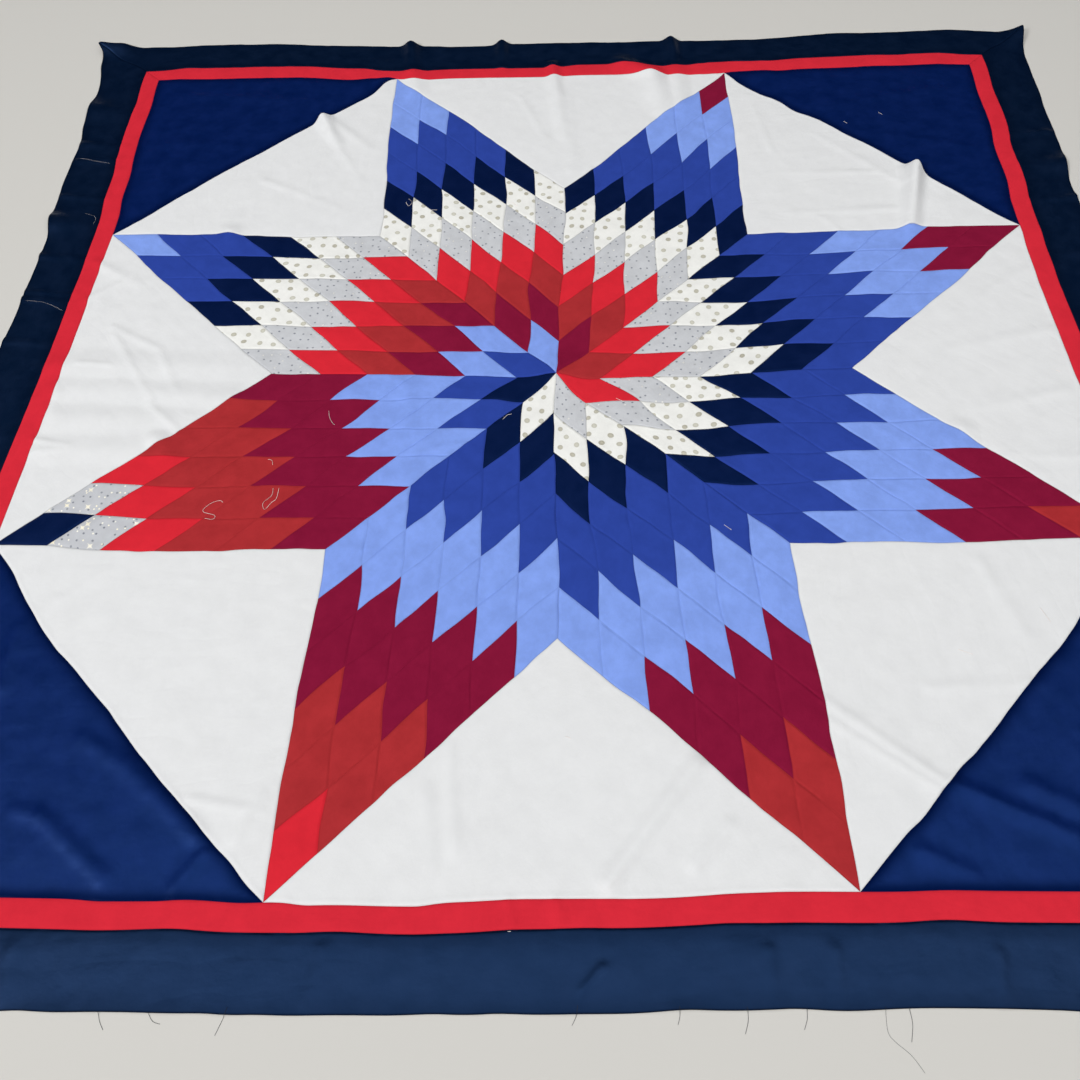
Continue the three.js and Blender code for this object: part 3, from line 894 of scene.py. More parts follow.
class ClothMaterial:
    """Builds the node material of one cotton."""

    dark_mottle: float = 3.0
    pale_mottle: float = 2.0
    pale_lift: float = 0.04
    matt_gloss: float = 0.1
    rim_radius: float = 0.78
    rim_edge: Place = (0.4, 0.08)
    rim_cover: float = 0.4
    rim_dye: Dye = (168, 165, 146)
    # Share of the flecks that get a painted glint of light
    painted_glint_share: Place = (0.84, 0.86)
    foil_metal: float = 0.35
    foil_roughness: float = 0.35
    threads_per_metre: float = 1400.0
    thread_height: float = 0.12
    crease_scale: tuple[float, float, float] = (4.0, 13.0, 1.0)
    crease_turn: float = 0.5
    crease_reach: float = 0.07
    crease_height: float = -16.0
    bump_strength: float = 0.5
    bump_distance: float = 0.0006
    # Colour of the painted shade along seams, as a share of the dye
    painted_shade_share: float = 0.4

    def __init__(self, finish: Finish) -> None:
        """Makes an empty node material.

        Args:
            finish: the cotton's look.
        """
        self.finish = finish
        self.material = bpy.data.materials.new(finish.name)
        self.material.use_nodes = True
        self.tree = self.material.node_tree
        self.shader = self.tree.nodes["Principled BSDF"]

    def node(self, kind: str, inputs: dict | None = None, **settings: object) -> bpy.types.Node:
        """Adds one node.

        Args:
            kind: the node's type name.
            inputs: values or sockets for its inputs, by name or number.
            settings: the node's own settings.

        Returns:
            The node.
        """
        made = self.tree.nodes.new(kind)
        for name, value in settings.items():
            setattr(made, name, value)
        for key, value in (inputs or {}).items():
            if isinstance(value, bpy.types.NodeSocket):
                self.tree.links.new(value, made.inputs[key])
            else:
                made.inputs[key].default_value = value
        return made

    def maths(self, operation: str, *values: object) -> bpy.types.NodeSocket:
        """Adds one Math node.

        Args:
            operation: the sum it does.
            values: numbers or sockets.

        Returns:
            Its output.
        """
        return self.node("ShaderNodeMath", dict(enumerate(values)), operation=operation).outputs[0]

    def mixed(self, share: object, first: object, second: object, blend: str = "MIX") -> bpy.types.NodeSocket:
        """Mixes two colours.

        Args:
            share: how much of the second.
            first: a colour or socket.
            second: a colour or socket.
            blend: how they blend.

        Returns:
            The mixed colour's socket.
        """
        made = self.node("ShaderNodeMix", data_type="RGBA", blend_type=blend)
        for key, value in (("Factor_Float", share), ("A_Color", first), ("B_Color", second)):
            socket = next(s for s in made.inputs if s.identifier == key)
            if isinstance(value, bpy.types.NodeSocket):
                self.tree.links.new(value, socket)
            else:
                socket.default_value = value
        return next(s for s in made.outputs if s.identifier == "Result_Color")

    def ramp(self, value: object, low: float, high: float) -> bpy.types.NodeSocket:
        """Maps a value smoothly to 0 at low and 1 at high, or the other way round.

        Args:
            value: the socket to map.
            low: the value that gives 0.
            high: the value that gives 1.

        Returns:
            The mapped value's socket.
        """
        return self.node(
            "ShaderNodeMapRange",
            {"Value": value, "From Min": low, "From Max": high},
            interpolation_type="SMOOTHSTEP",
        ).outputs["Result"]

    def noise(self, vector: object, scale: float, detail: float, rough: float, bent: float = 0.0) -> object:
        """Adds one Noise Texture node.

        Args:
            vector: the coordinates' socket.
            scale: how fine it is.
            detail: how many finer layers it has.
            rough: how strong they are.
            bent: how far it is distorted.

        Returns:
            Its value's socket.
        """
        inputs = {"Vector": vector, "Scale": scale, "Detail": detail, "Roughness": rough, "Distortion": bent}
        return self.node("ShaderNodeTexNoise", inputs).outputs["Fac"]

    def spots(self, uv: object, foil: Foil) -> tuple[object, object, object]:
        """Spots in diagonal rows, a little out of line.

        Args:
            uv: the cloth's own coordinates, in metres.
            foil: the spots.

        Returns:
            The sockets of the distance from the nearest spot, in spot radii, of the spots' cover, and of a
            random value for each spot.
        """
        split = self.node("ShaderNodeSeparateXYZ", {0: uv})
        scale = math.sqrt(0.5) / foil.spacing
        column = self.maths("MULTIPLY", self.maths("ADD", split.outputs["X"], split.outputs["Y"]), scale)
        row = self.maths("MULTIPLY", self.maths("SUBTRACT", split.outputs["Y"], split.outputs["X"]), scale)
        place = self.node("ShaderNodeCombineXYZ", {"X": column, "Y": row})
        cells = self.node(
            "ShaderNodeTexVoronoi",
            {"Vector": place.outputs[0], "Scale": 1.0, "Randomness": foil.loose},
            voronoi_dimensions="2D",
            feature="F1",
            distance=foil.metric,
        )
        distance = self.maths("DIVIDE", cells.outputs["Distance"], foil.size)
        chance = self.node("ShaderNodeSeparateColor", {0: cells.outputs["Color"]}).outputs[foil.channel]
        return distance, self.ramp(distance, *foil.edge), chance

    def printed(self, base: object, uv: object, foil: Foil) -> object:
        """Foil spots over the base colour, some of them painted glints of light.

        Args:
            base: the base colour's socket.
            uv: the cloth's own coordinates.
            foil: the spots.

        Returns:
            The colour's socket.
        """
        distance, cover, chance = self.spots(uv, foil)
        tone = self.mixed(chance, *foil.tones)
        if foil.rimmed:
            from_rim = self.maths("ABSOLUTE", self.maths("SUBTRACT", distance, self.rim_radius))
            rim = self.maths("MULTIPLY", self.ramp(from_rim, *self.rim_edge), self.rim_cover)
            tone = self.mixed(rim, tone, linear(self.rim_dye))
        # Painted glints: a few flecks take a pale colour, as if the foil caught the light
        if foil.painted_glints:
            tone = self.mixed(self.ramp(chance, *self.painted_glint_share), tone, PAINTED_GLINT_COLOUR)
        # Painted glints: these spots show as white or gold colour, without the metal shine of the other foils
        if foil.share_shown:
            cover = self.maths("MULTIPLY", cover, self.ramp(chance, *foil.share_shown))
        else:
            self.shine(cover, chance)
        return self.mixed(self.maths("MULTIPLY", cover, foil.cover), base, tone)

    def shine(self, cover: object, chance: object) -> None:
        """Makes the printed places shine as foil does.

        Args:
            cover: where the print covers the cloth.
            chance: a random value for each spot.
        """
        shine = self.maths("MULTIPLY", cover, self.maths("MULTIPLY", chance, self.foil_metal))
        self.tree.links.new(shine, self.shader.inputs["Metallic"])
        rough = self.node(
            "ShaderNodeMapRange",
            {"Value": cover, "To Min": self.finish.roughness, "To Max": self.foil_roughness},
        ).outputs["Result"]
        self.tree.links.new(rough, self.shader.inputs["Roughness"])

    def weave(self, uv: object) -> object:
        """Height of the plain weave, of small crinkles and of drawn-out creases.

        Args:
            uv: the cloth's own coordinates.

        Returns:
            The height's socket.
        """
        split = self.node("ShaderNodeSeparateXYZ", {0: uv})
        turn = self.threads_per_metre * math.pi
        warp = self.maths("SINE", self.maths("MULTIPLY", split.outputs["X"], turn))
        weft = self.maths("SINE", self.maths("MULTIPLY", split.outputs["Y"], turn))
        threads = self.maths("MULTIPLY", self.maths("MULTIPLY", warp, weft), self.thread_height)
        crinkle = self.noise(uv, scale=130.0, detail=4.0, rough=0.6)
        drawn = self.node(
            "ShaderNodeMapping",
            {"Vector": uv, "Rotation": (0, 0, self.crease_turn), "Scale": self.crease_scale},
        ).outputs["Vector"]
        crease = self.noise(drawn, scale=1.0, detail=2.0, rough=0.5, bent=0.2)
        crease = self.maths("ABSOLUTE", self.maths("SUBTRACT", crease, 0.5))
        crease = self.maths("MINIMUM", crease, self.crease_reach)
        crease = self.maths("MULTIPLY", crease, self.crease_height * self.finish.wrinkle)
        return self.maths("ADD", self.maths("ADD", threads, crinkle), crease)

    def base_colour(self, uv: object) -> object:
        """The dyed and printed colour, with the painted glints of light on some foils, and without the
        painted shade of seams.

        Args:
            uv: the cloth's own coordinates.

        Returns:
            The colour's socket.
        """
        dye, mottle = linear(self.finish.dye)[:3], self.finish.mottle
        darker, paler, lift = self.dark_mottle * mottle, self.pale_mottle * mottle, self.pale_lift * mottle
        dark = tuple(c * (1 - darker) for c in dye) + (1.0,)
        pale = tuple(min(1.0, c * (1 + paler) + lift) for c in dye) + (1.0,)
        cloud = self.noise(uv, scale=26.0, detail=5.0, rough=0.65)
        colour = self.mixed(self.ramp(cloud, low=0.25, high=0.75), dark, pale)
        for foil in FOILS[self.finish.printed]:
            colour = self.printed(colour, uv, foil)
        return colour

    def build(self) -> bpy.types.Material:
        """Links the nodes.

        Returns:
            The finished material.
        """
        finish, inputs, links = self.finish, self.shader.inputs, self.tree.links
        dye = linear(finish.dye)
        inputs["Roughness"].default_value = finish.roughness
        inputs["Specular Tint"].default_value = (*finish.gloss_tint, 1.0)
        uv = self.node("ShaderNodeUVMap", uv_map="cloth").outputs["UV"]
        # Painted shade: along seams the colour darkens by the seam_shade attribute, and the gloss dims with
        # it
        shade = self.node("ShaderNodeAttribute", attribute_name="seam_shade").outputs["Fac"]
        painted_shade_dye = tuple(c * self.painted_shade_share for c in dye[:3]) + (1.0,)
        shaded = self.maths("MULTIPLY", shade, finish.seam_shade)
        links.new(self.mixed(shaded, self.base_colour(uv), painted_shade_dye), inputs["Base Color"])
        bump = self.node(
            "ShaderNodeBump",
            {"Strength": self.bump_strength, "Distance": self.bump_distance, "Height": self.weave(uv)},
        ).outputs["Normal"]
        links.new(bump, inputs["Normal"])
        if finish.gloss > self.matt_gloss:
            gloss = self.maths("MULTIPLY", self.maths("SUBTRACT", 1.0, shade), finish.gloss)
            links.new(gloss, inputs["Specular IOR Level"])
        else:
            inputs["Specular IOR Level"].default_value = finish.gloss
        self.material.diffuse_color = dye
        return self.material


# Pieces of cloth

NEAR_SEAM = (0.0, 0.9, 2.0, 3.6, 6.6, 10.0)
SLANT = math.sqrt(0.5)


def seam_stops(length: float, step: float) -> list[float]:
    """Places of grid lines between two seams, close together at both.

    Args:
        length: distance from one seam to the other.
        step: greatest distance between lines.

    Returns:
        Rising places from 0 to length.
    """
    reach = NEAR_SEAM[-1]
    inner = length - 2 * reach
    count = max(1, math.ceil(inner / step))
    middle = [reach + inner * k / count for k in range(1, count)]
    return [*NEAR_SEAM, *middle, *(length - x for x in reversed(NEAR_SEAM))]


@dataclass
class ClothPiece:
    """One piece of cloth, cut from the pattern and laid. Its sheet size and area are in metres."""

    node: str
    slot: str
    sheet_size: Place
    sheet_area: float
    cotton: Cotton = Cotton.WHITE
    thickness: float = 0.45
    least_height: float = 0.02
    step: float = 5.2
    sharp_angle: float = 60.0

    def lattice(self, columns: list[float], rows: list[float]) -> bmesh.types.BMesh:
        """A flat grid with its lines at the given places.

        Args:
            columns: places of the lines across.
            rows: places of the lines along.

        Returns:
            The grid, in the piece's own two directions.
        """
        bm = bmesh.new()
        bmesh.ops.create_grid(bm, x_segments=len(columns) - 1, y_segments=len(rows) - 1, size=1)
        for vert in bm.verts:
            vert.co.x = columns[round((vert.co.x + 1) / 2 * (len(columns) - 1))]
            vert.co.y = rows[round((vert.co.y + 1) / 2 * (len(rows) - 1))]
        return bm

    def cut(self, own: np.ndarray) -> np.ndarray:
        """Places in the cut pattern of places in the piece's own directions."""
        raise NotImplementedError

    def grain(self, own: np.ndarray) -> np.ndarray:
        """Places along and across the grain of places in the piece's own directions."""
        return own

    def relief(self, own: np.ndarray) -> tuple[np.ndarray, np.ndarray]:
        """Seams' relief and shade at places in the piece's own directions."""
        raise NotImplementedError

    def flat(self) -> bmesh.types.BMesh:
        """The piece cut flat, in its own two directions."""
        raise NotImplementedError

    def cottons(self) -> list[Cotton]:
        """The cottons it is sewn from."""
        return [self.cotton]

    def patch(self, middle: Vector) -> tuple[int, float, float, float]:
        """The cotton's place in the list, and the turn and two shifts of its print, for a face's middle."""
        return 0, 0.0, 0.0, 0.0

    def build(self, materials: dict[Cotton, bpy.types.Material]) -> bpy.types.Object:
        """Args:
            materials: the finished materials.

        Returns:
            The laid piece.
        """
        bm = self.flat()
        bm.verts.ensure_lookup_table()
        bm.verts.index_update()
        own = np.array([vert.co[:2] for vert in bm.verts])
        self.dress(bm, self.grain(own) * MM)
        relief, shade = self.relief(own)
        # The painted shade along seams, stored for the material
        shade_layer = bm.verts.layers.float.new("seam_shade")
        for vert, place, dark in zip(bm.verts, CLOTH.lay(self.cut(own), relief), shade):
            vert.co = place
            vert[shade_layer] = dark
        self.thicken(bm)
        piece = made_object(f"{self.node}_cloth", self.node, bm)
        piece.data.set_sharp_from_angle(angle=math.radians(self.sharp_angle))
        for cotton in self.cottons():
            piece.data.materials.append(materials[cotton])
        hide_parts(self.node)
        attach(piece, "root")
        log.info("%s: %d faces", piece.name, len(piece.data.polygons))
        return piece

    def dress(self, bm: bmesh.types.BMesh, grain: np.ndarray) -> None:
        """Gives each face its cotton, and the cotton's print and weave their lie.

        Args:
            bm: the flat piece.
            grain: each point's place along and across the grain, in metres.
        """
        uv = bm.loops.layers.uv.new("cloth")
        for face in bm.faces:
            number, turn, shift_u, shift_v = self.patch(face.calc_center_median())
            face.material_index = number
            face.smooth = True
            cos, sin = math.cos(turn), math.sin(turn)
            for loop in face.loops:
                x, y = grain[loop.vert.index]
                loop[uv].uv = (x * cos - y * sin + shift_u, x * sin + y * cos + shift_v)

    def thicken(self, bm: bmesh.types.BMesh) -> None:
        """Gives the laid sheet its thickness downwards, and closes it.

        Args:
            bm: the laid sheet, whose faces look up.
        """
        bm.normal_update()
        made = bmesh.ops.extrude_face_region(bm, geom=bm.faces[:], use_keep_orig=True)["geom"]
        for item in made:
            if isinstance(item, bmesh.types.BMVert):
                item.co.z = max(self.least_height * MM, item.co.z - self.thickness * MM)
        under = [item for item in made if isinstance(item, bmesh.types.BMFace)]
        bmesh.ops.reverse_faces(bm, faces=under)
        bm.normal_update()


@dataclass
class StarPoint(ClothPiece):
    """One star point, a 45 degree rhombus of small diamonds in rings of one cotton each."""

    number: int = 0
    chart: str = ""
    slide: float = 3.2
    slide_step: float = 74.0
    slide_fade: float = 90.0
    patch_step: float = 8.8
    print_turn: float = 0.12
    print_shift: float = 3.0
    line_apart: float = 977.0
    same_cotton_shade: float = 0.4

    def __post_init__(self) -> None:
        """Works out the two sides' directions and how each patch's print lies."""
        side = PATTERN.point_side
        self.first = PATTERN.notch(self.number + 1) / side
        self.second = PATTERN.notch(self.number) / side
        chance = random.Random(Seed.PRINTS + self.number)
        turn, shift = self.print_turn, self.print_shift
        self.lies = [
            (chance.uniform(-turn, turn), chance.uniform(0, shift), chance.uniform(0, shift))
            for _ in range(PATTERN.diamonds_per_side**2)
        ]
        self.letters = list(dict.fromkeys(self.chart))

    def cottons(self) -> list[Cotton]:
        """The cottons it is sewn from."""
        return [Cotton(letter) for letter in self.letters]

    def flat(self) -> bmesh.types.BMesh:
        """The point cut flat, with close lines beside each seam.

        Returns:
            The grid along the point's two sides.
        """
        one = seam_stops(PATTERN.diamond_side, self.patch_step)
        stops = [0.0]
        for k in range(PATTERN.diamonds_per_side):
            stops += [k * PATTERN.diamond_side + x for x in one[1:]]
        return self.lattice(stops, stops)

    def cut(self, own: np.ndarray) -> np.ndarray:
        """Places in the cut pattern, where the sewn lines have slid a little along the point's sides.

        Args:
            own: places in the piece's own directions.

        Returns:
            Their places in the cut pattern.
        """
        side = PATTERN.point_side
        slid = own.copy()
        for axis in (0, 1):
            ends = smooth_step(0, self.slide_fade, own[:, axis])
            ends *= 1 - smooth_step(side - self.slide_fade, side, own[:, axis])
            noise = soft_noise(own, self.slide_step, Seed.SLIDES + 2 * self.number + axis)
            slid[:, axis] += self.slide * ends * noise
        return slid[:, :1] * self.first + slid[:, 1:] * self.second

    def grain(self, own: np.ndarray) -> np.ndarray:
        """Places along and across the grain, which follows the strips that the point is cut from."""
        return np.column_stack([own[:, 0] + own[:, 1] * SLANT, own[:, 1] * SLANT])

    def patch(self, middle: Vector) -> tuple[int, float, float, float]:
        """Which cotton a face is of, and how that cotton's print lies there.

        Args:
            middle: the face's middle in the piece's own directions.

        Returns:
            The cotton's place in the list, and the print's turn and two shifts.
        """
        column = int(middle.x // PATTERN.diamond_side)
        row = int(middle.y // PATTERN.diamond_side)
        turn, shift_u, shift_v = self.lies[column * PATTERN.diamonds_per_side + row]
        return self.letters.index(self.chart[column + row]), turn, shift_u, shift_v

    def relief(self, own: np.ndarray) -> tuple[np.ndarray, np.ndarray]:
        """Relief and shade of the lines of sewing in both directions.

        Args:
            own: places in the piece's own directions.

        Returns:
            The height and the shade at each place.
        """
        lines = []
        for axis in (0, 1):
            across, along = own[:, axis], own[:, 1 - axis]
            line = np.round(across / PATTERN.diamond_side)
            off = (across - line * PATTERN.diamond_side) * SLANT
            weight = np.where(self.same_cotton(line, along), self.same_cotton_shade, 1.0)
            seed = Seed.POINT_SEAMS + self.number * 2 + axis
            lines.append((np.abs(off), along + self.line_apart * line, off > 0, seed, weight))
        return SEAM.sewn(lines)

    def same_cotton(self, line: np.ndarray, along: np.ndarray) -> np.ndarray:
        """Whether the patches on both sides of a line of sewing are of one cotton.

        Args:
            line: the line's number, 0 and 6 being the point's own sides.
            along: place along the line.

        Returns:
            True or False for each place.
        """
        rings = np.array([ord(letter) for letter in self.chart])
        row = np.clip(along // PATTERN.diamond_side, 0, PATTERN.diamonds_per_side - 1)
        outer = np.clip(line + row, 1, len(rings) - 1).astype(int)
        inside = (line > 0) & (line < PATTERN.diamonds_per_side)
        return inside & (rings[outer] == rings[outer - 1])


@dataclass
class TrianglePanel(ClothPiece):
    """A half-square triangle between two star points, or in a corner."""

    corner: Place = (0.0, 0.0)
    first_end: Place = (0.0, 0.0)
    second_end: Place = (0.0, 0.0)
    seed: int = 0
    # Painted shade: a band of shade along all three seams, used for the navy corner panels
    shade_band: float = 0.0
    shade_band_width: float = 12.0
    least_step: float = 0.01

    def flat(self) -> bmesh.types.BMesh:
        """The panel cut flat: a square cut across, with close lines along the cut too.

        Returns:
            The triangle along its two short sides.
        """
        side = PATTERN.point_side
        stops = seam_stops(side, self.step)
        bm = self.lattice(stops, stops)
        for inwards in NEAR_SEAM[:-1]:
            at = side / 2 - inwards * SLANT
            bmesh.ops.bisect_plane(
                bm, geom=bm.verts[:] + bm.edges[:] + bm.faces[:], dist=self.least_step,
                plane_co=(at, at, 0), plane_no=Vector((1, 1, 0)).normalized(), clear_outer=inwards == 0,
            )
        return bm

    def cut(self, own: np.ndarray) -> np.ndarray:
        """Places in the cut pattern of places along the panel's two short sides.

        Args:
            own: places in the piece's own directions.

        Returns:
            Their places in the cut pattern.
        """
        corner = np.array(self.corner)
        side = PATTERN.point_side
        first = (np.array(self.first_end) - corner) / side
        second = (np.array(self.second_end) - corner) / side
        return corner + own[:, :1] * first + own[:, 1:] * second

    def relief(self, own: np.ndarray) -> tuple[np.ndarray, np.ndarray]:
        """Relief of the seams along the three sides, with the shade painted along them and any wider band of
        painted shade.

        Args:
            own: places in the piece's own directions.

        Returns:
            The height and the shade at each place.
        """
        u, v = own[:, 0], own[:, 1]
        sides = ((u, v, False), (v, u, False), ((PATTERN.point_side - u - v) * SLANT, (u - v) * SLANT, True))
        first_seed = Seed.PANEL_SEAMS + self.seed * len(sides)
        lines = [
            (np.maximum(distance, 0), along, pressed, first_seed + number, 1.0)
            for number, (distance, along, pressed) in enumerate(sides)
        ]
        relief, shade = SEAM.sewn(lines)
        shade_bands = [self.shade_band * bell(line[0], self.shade_band_width) for line in lines]
        return relief, np.maximum.reduce([shade, *shade_bands])


@dataclass
class BorderStrip(ClothPiece):
    """A border strip, mitred at both ends."""

    turns: int = 0
    inner: float = 0.0
    outer: float = 0.0
    raw_edge: bool = False
    # Painted shade: bands of shade beside the red seam and the raw edge, and a painted shadow line on the raw
    # edge
    seam_shade_band: float = 0.42
    edge_shade_band: float = 0.3
    shade_band_width: float = 17.0
    edge_shadow_width: float = 2.4

    def flat(self) -> bmesh.types.BMesh:
        """The strip cut flat, with its mitres.

        Returns:
            The strip behind the star's centre.
        """
        long = seam_stops(2 * self.outer, self.step)
        bm = self.lattice([x - self.outer for x in long], seam_stops(self.outer - self.inner, self.step))
        for vert in bm.verts:
            vert.co.y += self.inner
            vert.co.x *= vert.co.y / self.outer
        return bm

    def cut(self, own: np.ndarray) -> np.ndarray:
        """Places in the cut pattern, with the strip turned to its own side.

        Args:
            own: places in the strip behind the star's centre.

        Returns:
            Their places in the cut pattern.
        """
        turn = -self.turns * math.pi / 2
        cos, sin = math.cos(turn), math.sin(turn)
        return own @ np.array([[cos, sin], [-sin, cos]])

    def relief(self, own: np.ndarray) -> tuple[np.ndarray, np.ndarray]:
        """Relief of the seams, with the shade painted along them; an outer strip also gets bands of painted
        shade beside its seam and its raw edge, and a painted shadow line on the edge.

        Args:
            own: places in the piece's own directions.

        Returns:
            The height and the shade at each place.
        """
        x, y = own[:, 0], own[:, 1]
        sides = [(y - self.inner, x), ((y - np.abs(x)) * SLANT, y), (self.outer - y, x)]
        first_seed = Seed.STRIP_SEAMS + self.turns * len(sides)
        lines = [
            (np.maximum(distance, 0), along, self.raw_edge and number == 0, first_seed + number, 1.0)
            for number, (distance, along) in enumerate(sides)
        ]
        if not self.raw_edge:
            return SEAM.sewn(lines)
        # Bands of painted shade, and the painted shadow line along the raw edge
        from_seam, _, from_edge = (line[0] for line in lines)
        relief, shade = SEAM.sewn(lines[:2])
        shade_bands = self.seam_shade_band * bell(from_seam, self.shade_band_width)
        shade_bands += self.edge_shade_band * bell(from_edge, self.shade_band_width)
        return relief, np.maximum.reduce([shade, shade_bands, bell(from_edge, self.edge_shadow_width)])


@dataclass
class Quilt:
    """All the pieces of cloth, and the threads on them. A sheet has its flat size and area, in metres."""

    point_sheet: tuple = ((0.381, 0.9198), 0.2053)
    panel_sheet: tuple = ((0.5388, 0.5388), 0.1452)
    red_sheet: tuple = ((1.9159, 0.0381), 0.0715)
    navy_sheet: tuple = ((2.1319, 0.108), 0.2186)

    def star_points(self) -> list[ClothPiece]:
        """The eight star points.

        Returns:
            The pieces, clockwise from the back right one.
        """
        return [
            StarPoint(f"star_point_{i + 1}", "star_cottons", *self.point_sheet, number=i, chart=chart)
            for i, chart in enumerate(CHARTS)
        ]

    def setting_panels(self) -> list[ClothPiece]:
        """The eight white panels.

        Returns:
            The pieces, clockwise from the back one.
        """
        return [
            TrianglePanel(
                f"setting_panel_{i + 1}", "white_cotton", *self.panel_sheet, seed=i,
                corner=tuple(PATTERN.notch(i)), first_end=tuple(PATTERN.tip(i)),
                second_end=tuple(PATTERN.tip(i - 1)),
            )
            for i in range(8)
        ]

    def corner_panels(self) -> list[ClothPiece]:
        """The four navy corner panels.

        Returns:
            The pieces, clockwise from the back right one.
        """
        near, far = PATTERN.tip_offset, PATTERN.tip_reach
        first_seed = 20
        ends = [(far, far), (near, far), (far, near)]
        panels = []
        for i in range(4):
            # The navy corner panels get a wide band of painted shade along their seams
            panels.append(TrianglePanel(
                f"corner_panel_{i + 1}", "navy_cotton", *self.panel_sheet, Cotton.CORNER_NAVY,
                corner=ends[0], first_end=ends[1], second_end=ends[2], seed=first_seed + i, shade_band=0.95,
            ))
            ends = [(y, -x) for x, y in ends]
        return panels

    def border_strips(self) -> list[ClothPiece]:
        """The red and the navy border strips.

        Returns:
            The pieces of each side, clockwise from the back one.
        """
        strips: list[ClothPiece] = []
        for turns, side in enumerate(("back", "right", "front", "left")):
            strips.append(BorderStrip(
                f"red_strip_{side}", "red_cotton", *self.red_sheet, Cotton.BORDER_RED, turns=turns,
                inner=PATTERN.tip_reach, outer=PATTERN.red_reach,
            ))
            strips.append(BorderStrip(
                f"navy_strip_{side}", "dark_navy_cotton", *self.navy_sheet, Cotton.BORDER_NAVY, turns=turns,
                inner=PATTERN.red_reach, outer=PATTERN.navy_reach, raw_edge=True,
            ))
        return strips

    def build(self) -> None:
        """Makes every piece of cloth and the threads."""
        materials = {cotton: ClothMaterial(finish).build() for cotton, finish in FINISHES.items()}
        for made in (self.star_points, self.setting_panels, self.corner_panels, self.border_strips):
            for piece in made():
                piece.build(materials)
        LooseThreads("pale_threads", "white_cotton", (250, 240, 236), PALE_THREADS).build()
        LooseThreads("dark_threads", "dark_navy_cotton", (58, 60, 68), DARK_THREADS).build()


# Loose ends of thread, by the places on the floor that they run through

@dataclass(frozen=True)
class Thread:
    """A loose end of thread."""

    run: tuple[Place, ...]
    radius: float = 0.32


FINE = 0.12
LONG_END = 0.16
DARK = 0.24
PALE_THREADS = (
    # Left point: a squiggle and a loop on the rust patches, with a short end each behind and in the burgundy
    Thread((
        (-564, -290), (-570, -286), (-584, -292), (-594, -308), (-573, -316), (-574, -324), (-588, -322),
    )),
    Thread((
        (-484, -261), (-484, -276), (-495, -290), (-495, -299), (-490, -305), (-482, -291), (-475, -283),
        (-474, -261),
    )),
    Thread(((-503, -200), (-496, -202), (-493, -212))),
    Thread(((-412, -92), (-408, -108), (-401, -121), (-397, -124))),
    # Left border: three arcs
    Thread(((-1068, 648), (-1035, 639), (-999, 631)), FINE),
    Thread(((-1006, 461), (-981, 448), (-979, 425)), FINE),
    Thread(((-1050, 197), (-1010, 190), (-971, 170)), FINE),
    # Star, behind its centre and then right and in front of it
    Thread(((-320, 492), (-312, 482), (-318, 469), (-325, 482))),
    Thread(((-272, 455), (-257, 455))),
    Thread(((-101, 477), (-88, 464))),
    Thread(((100, -68), (114, -76))),
    Thread(((-100, -115), (-93, -106), (-85, -104))),
    Thread(((266, -341), (277, -351))),
    # Front seam, right panels, back right corner and front border
    Thread(((8, -700), (16, -703))),
    Thread(((888, -11), (895, -16))),
    Thread(((729, -494), (738, -518))),
    Thread(((590, -564), (610, -572))),
    Thread(((633, 740), (640, 733))),
    Thread(((716, 772), (723, 764))),
    Thread(((-66, -960), (-62, -960))),
)
DARK_THREADS = (
    # Over the raw front edge
    Thread(((-409, -1050), (-413, -1064), (-419, -1081)), DARK),
    Thread(((22, -1044), (20, -1056), (15, -1066)), DARK),
    Thread(((146, -1044), (146, -1054), (143, -1064)), DARK),
    Thread(((228, -1044), (228, -1058), (223, -1073)), DARK),
    Thread(((300, -1044), (299, -1056), (294, -1068)), DARK),
    Thread(((423, -1042), (424, -1060), (419, -1080)), DARK),
    Thread(((395, -1042), (393, -1069), (400, -1080), (416, -1094), (428, -1112)), LONG_END),
    Thread(((-569, -1056), (-565, -1066), (-558, -1076)), DARK),
    Thread(((-507, -1056), (-499, -1066), (-489, -1069)), DARK),
)


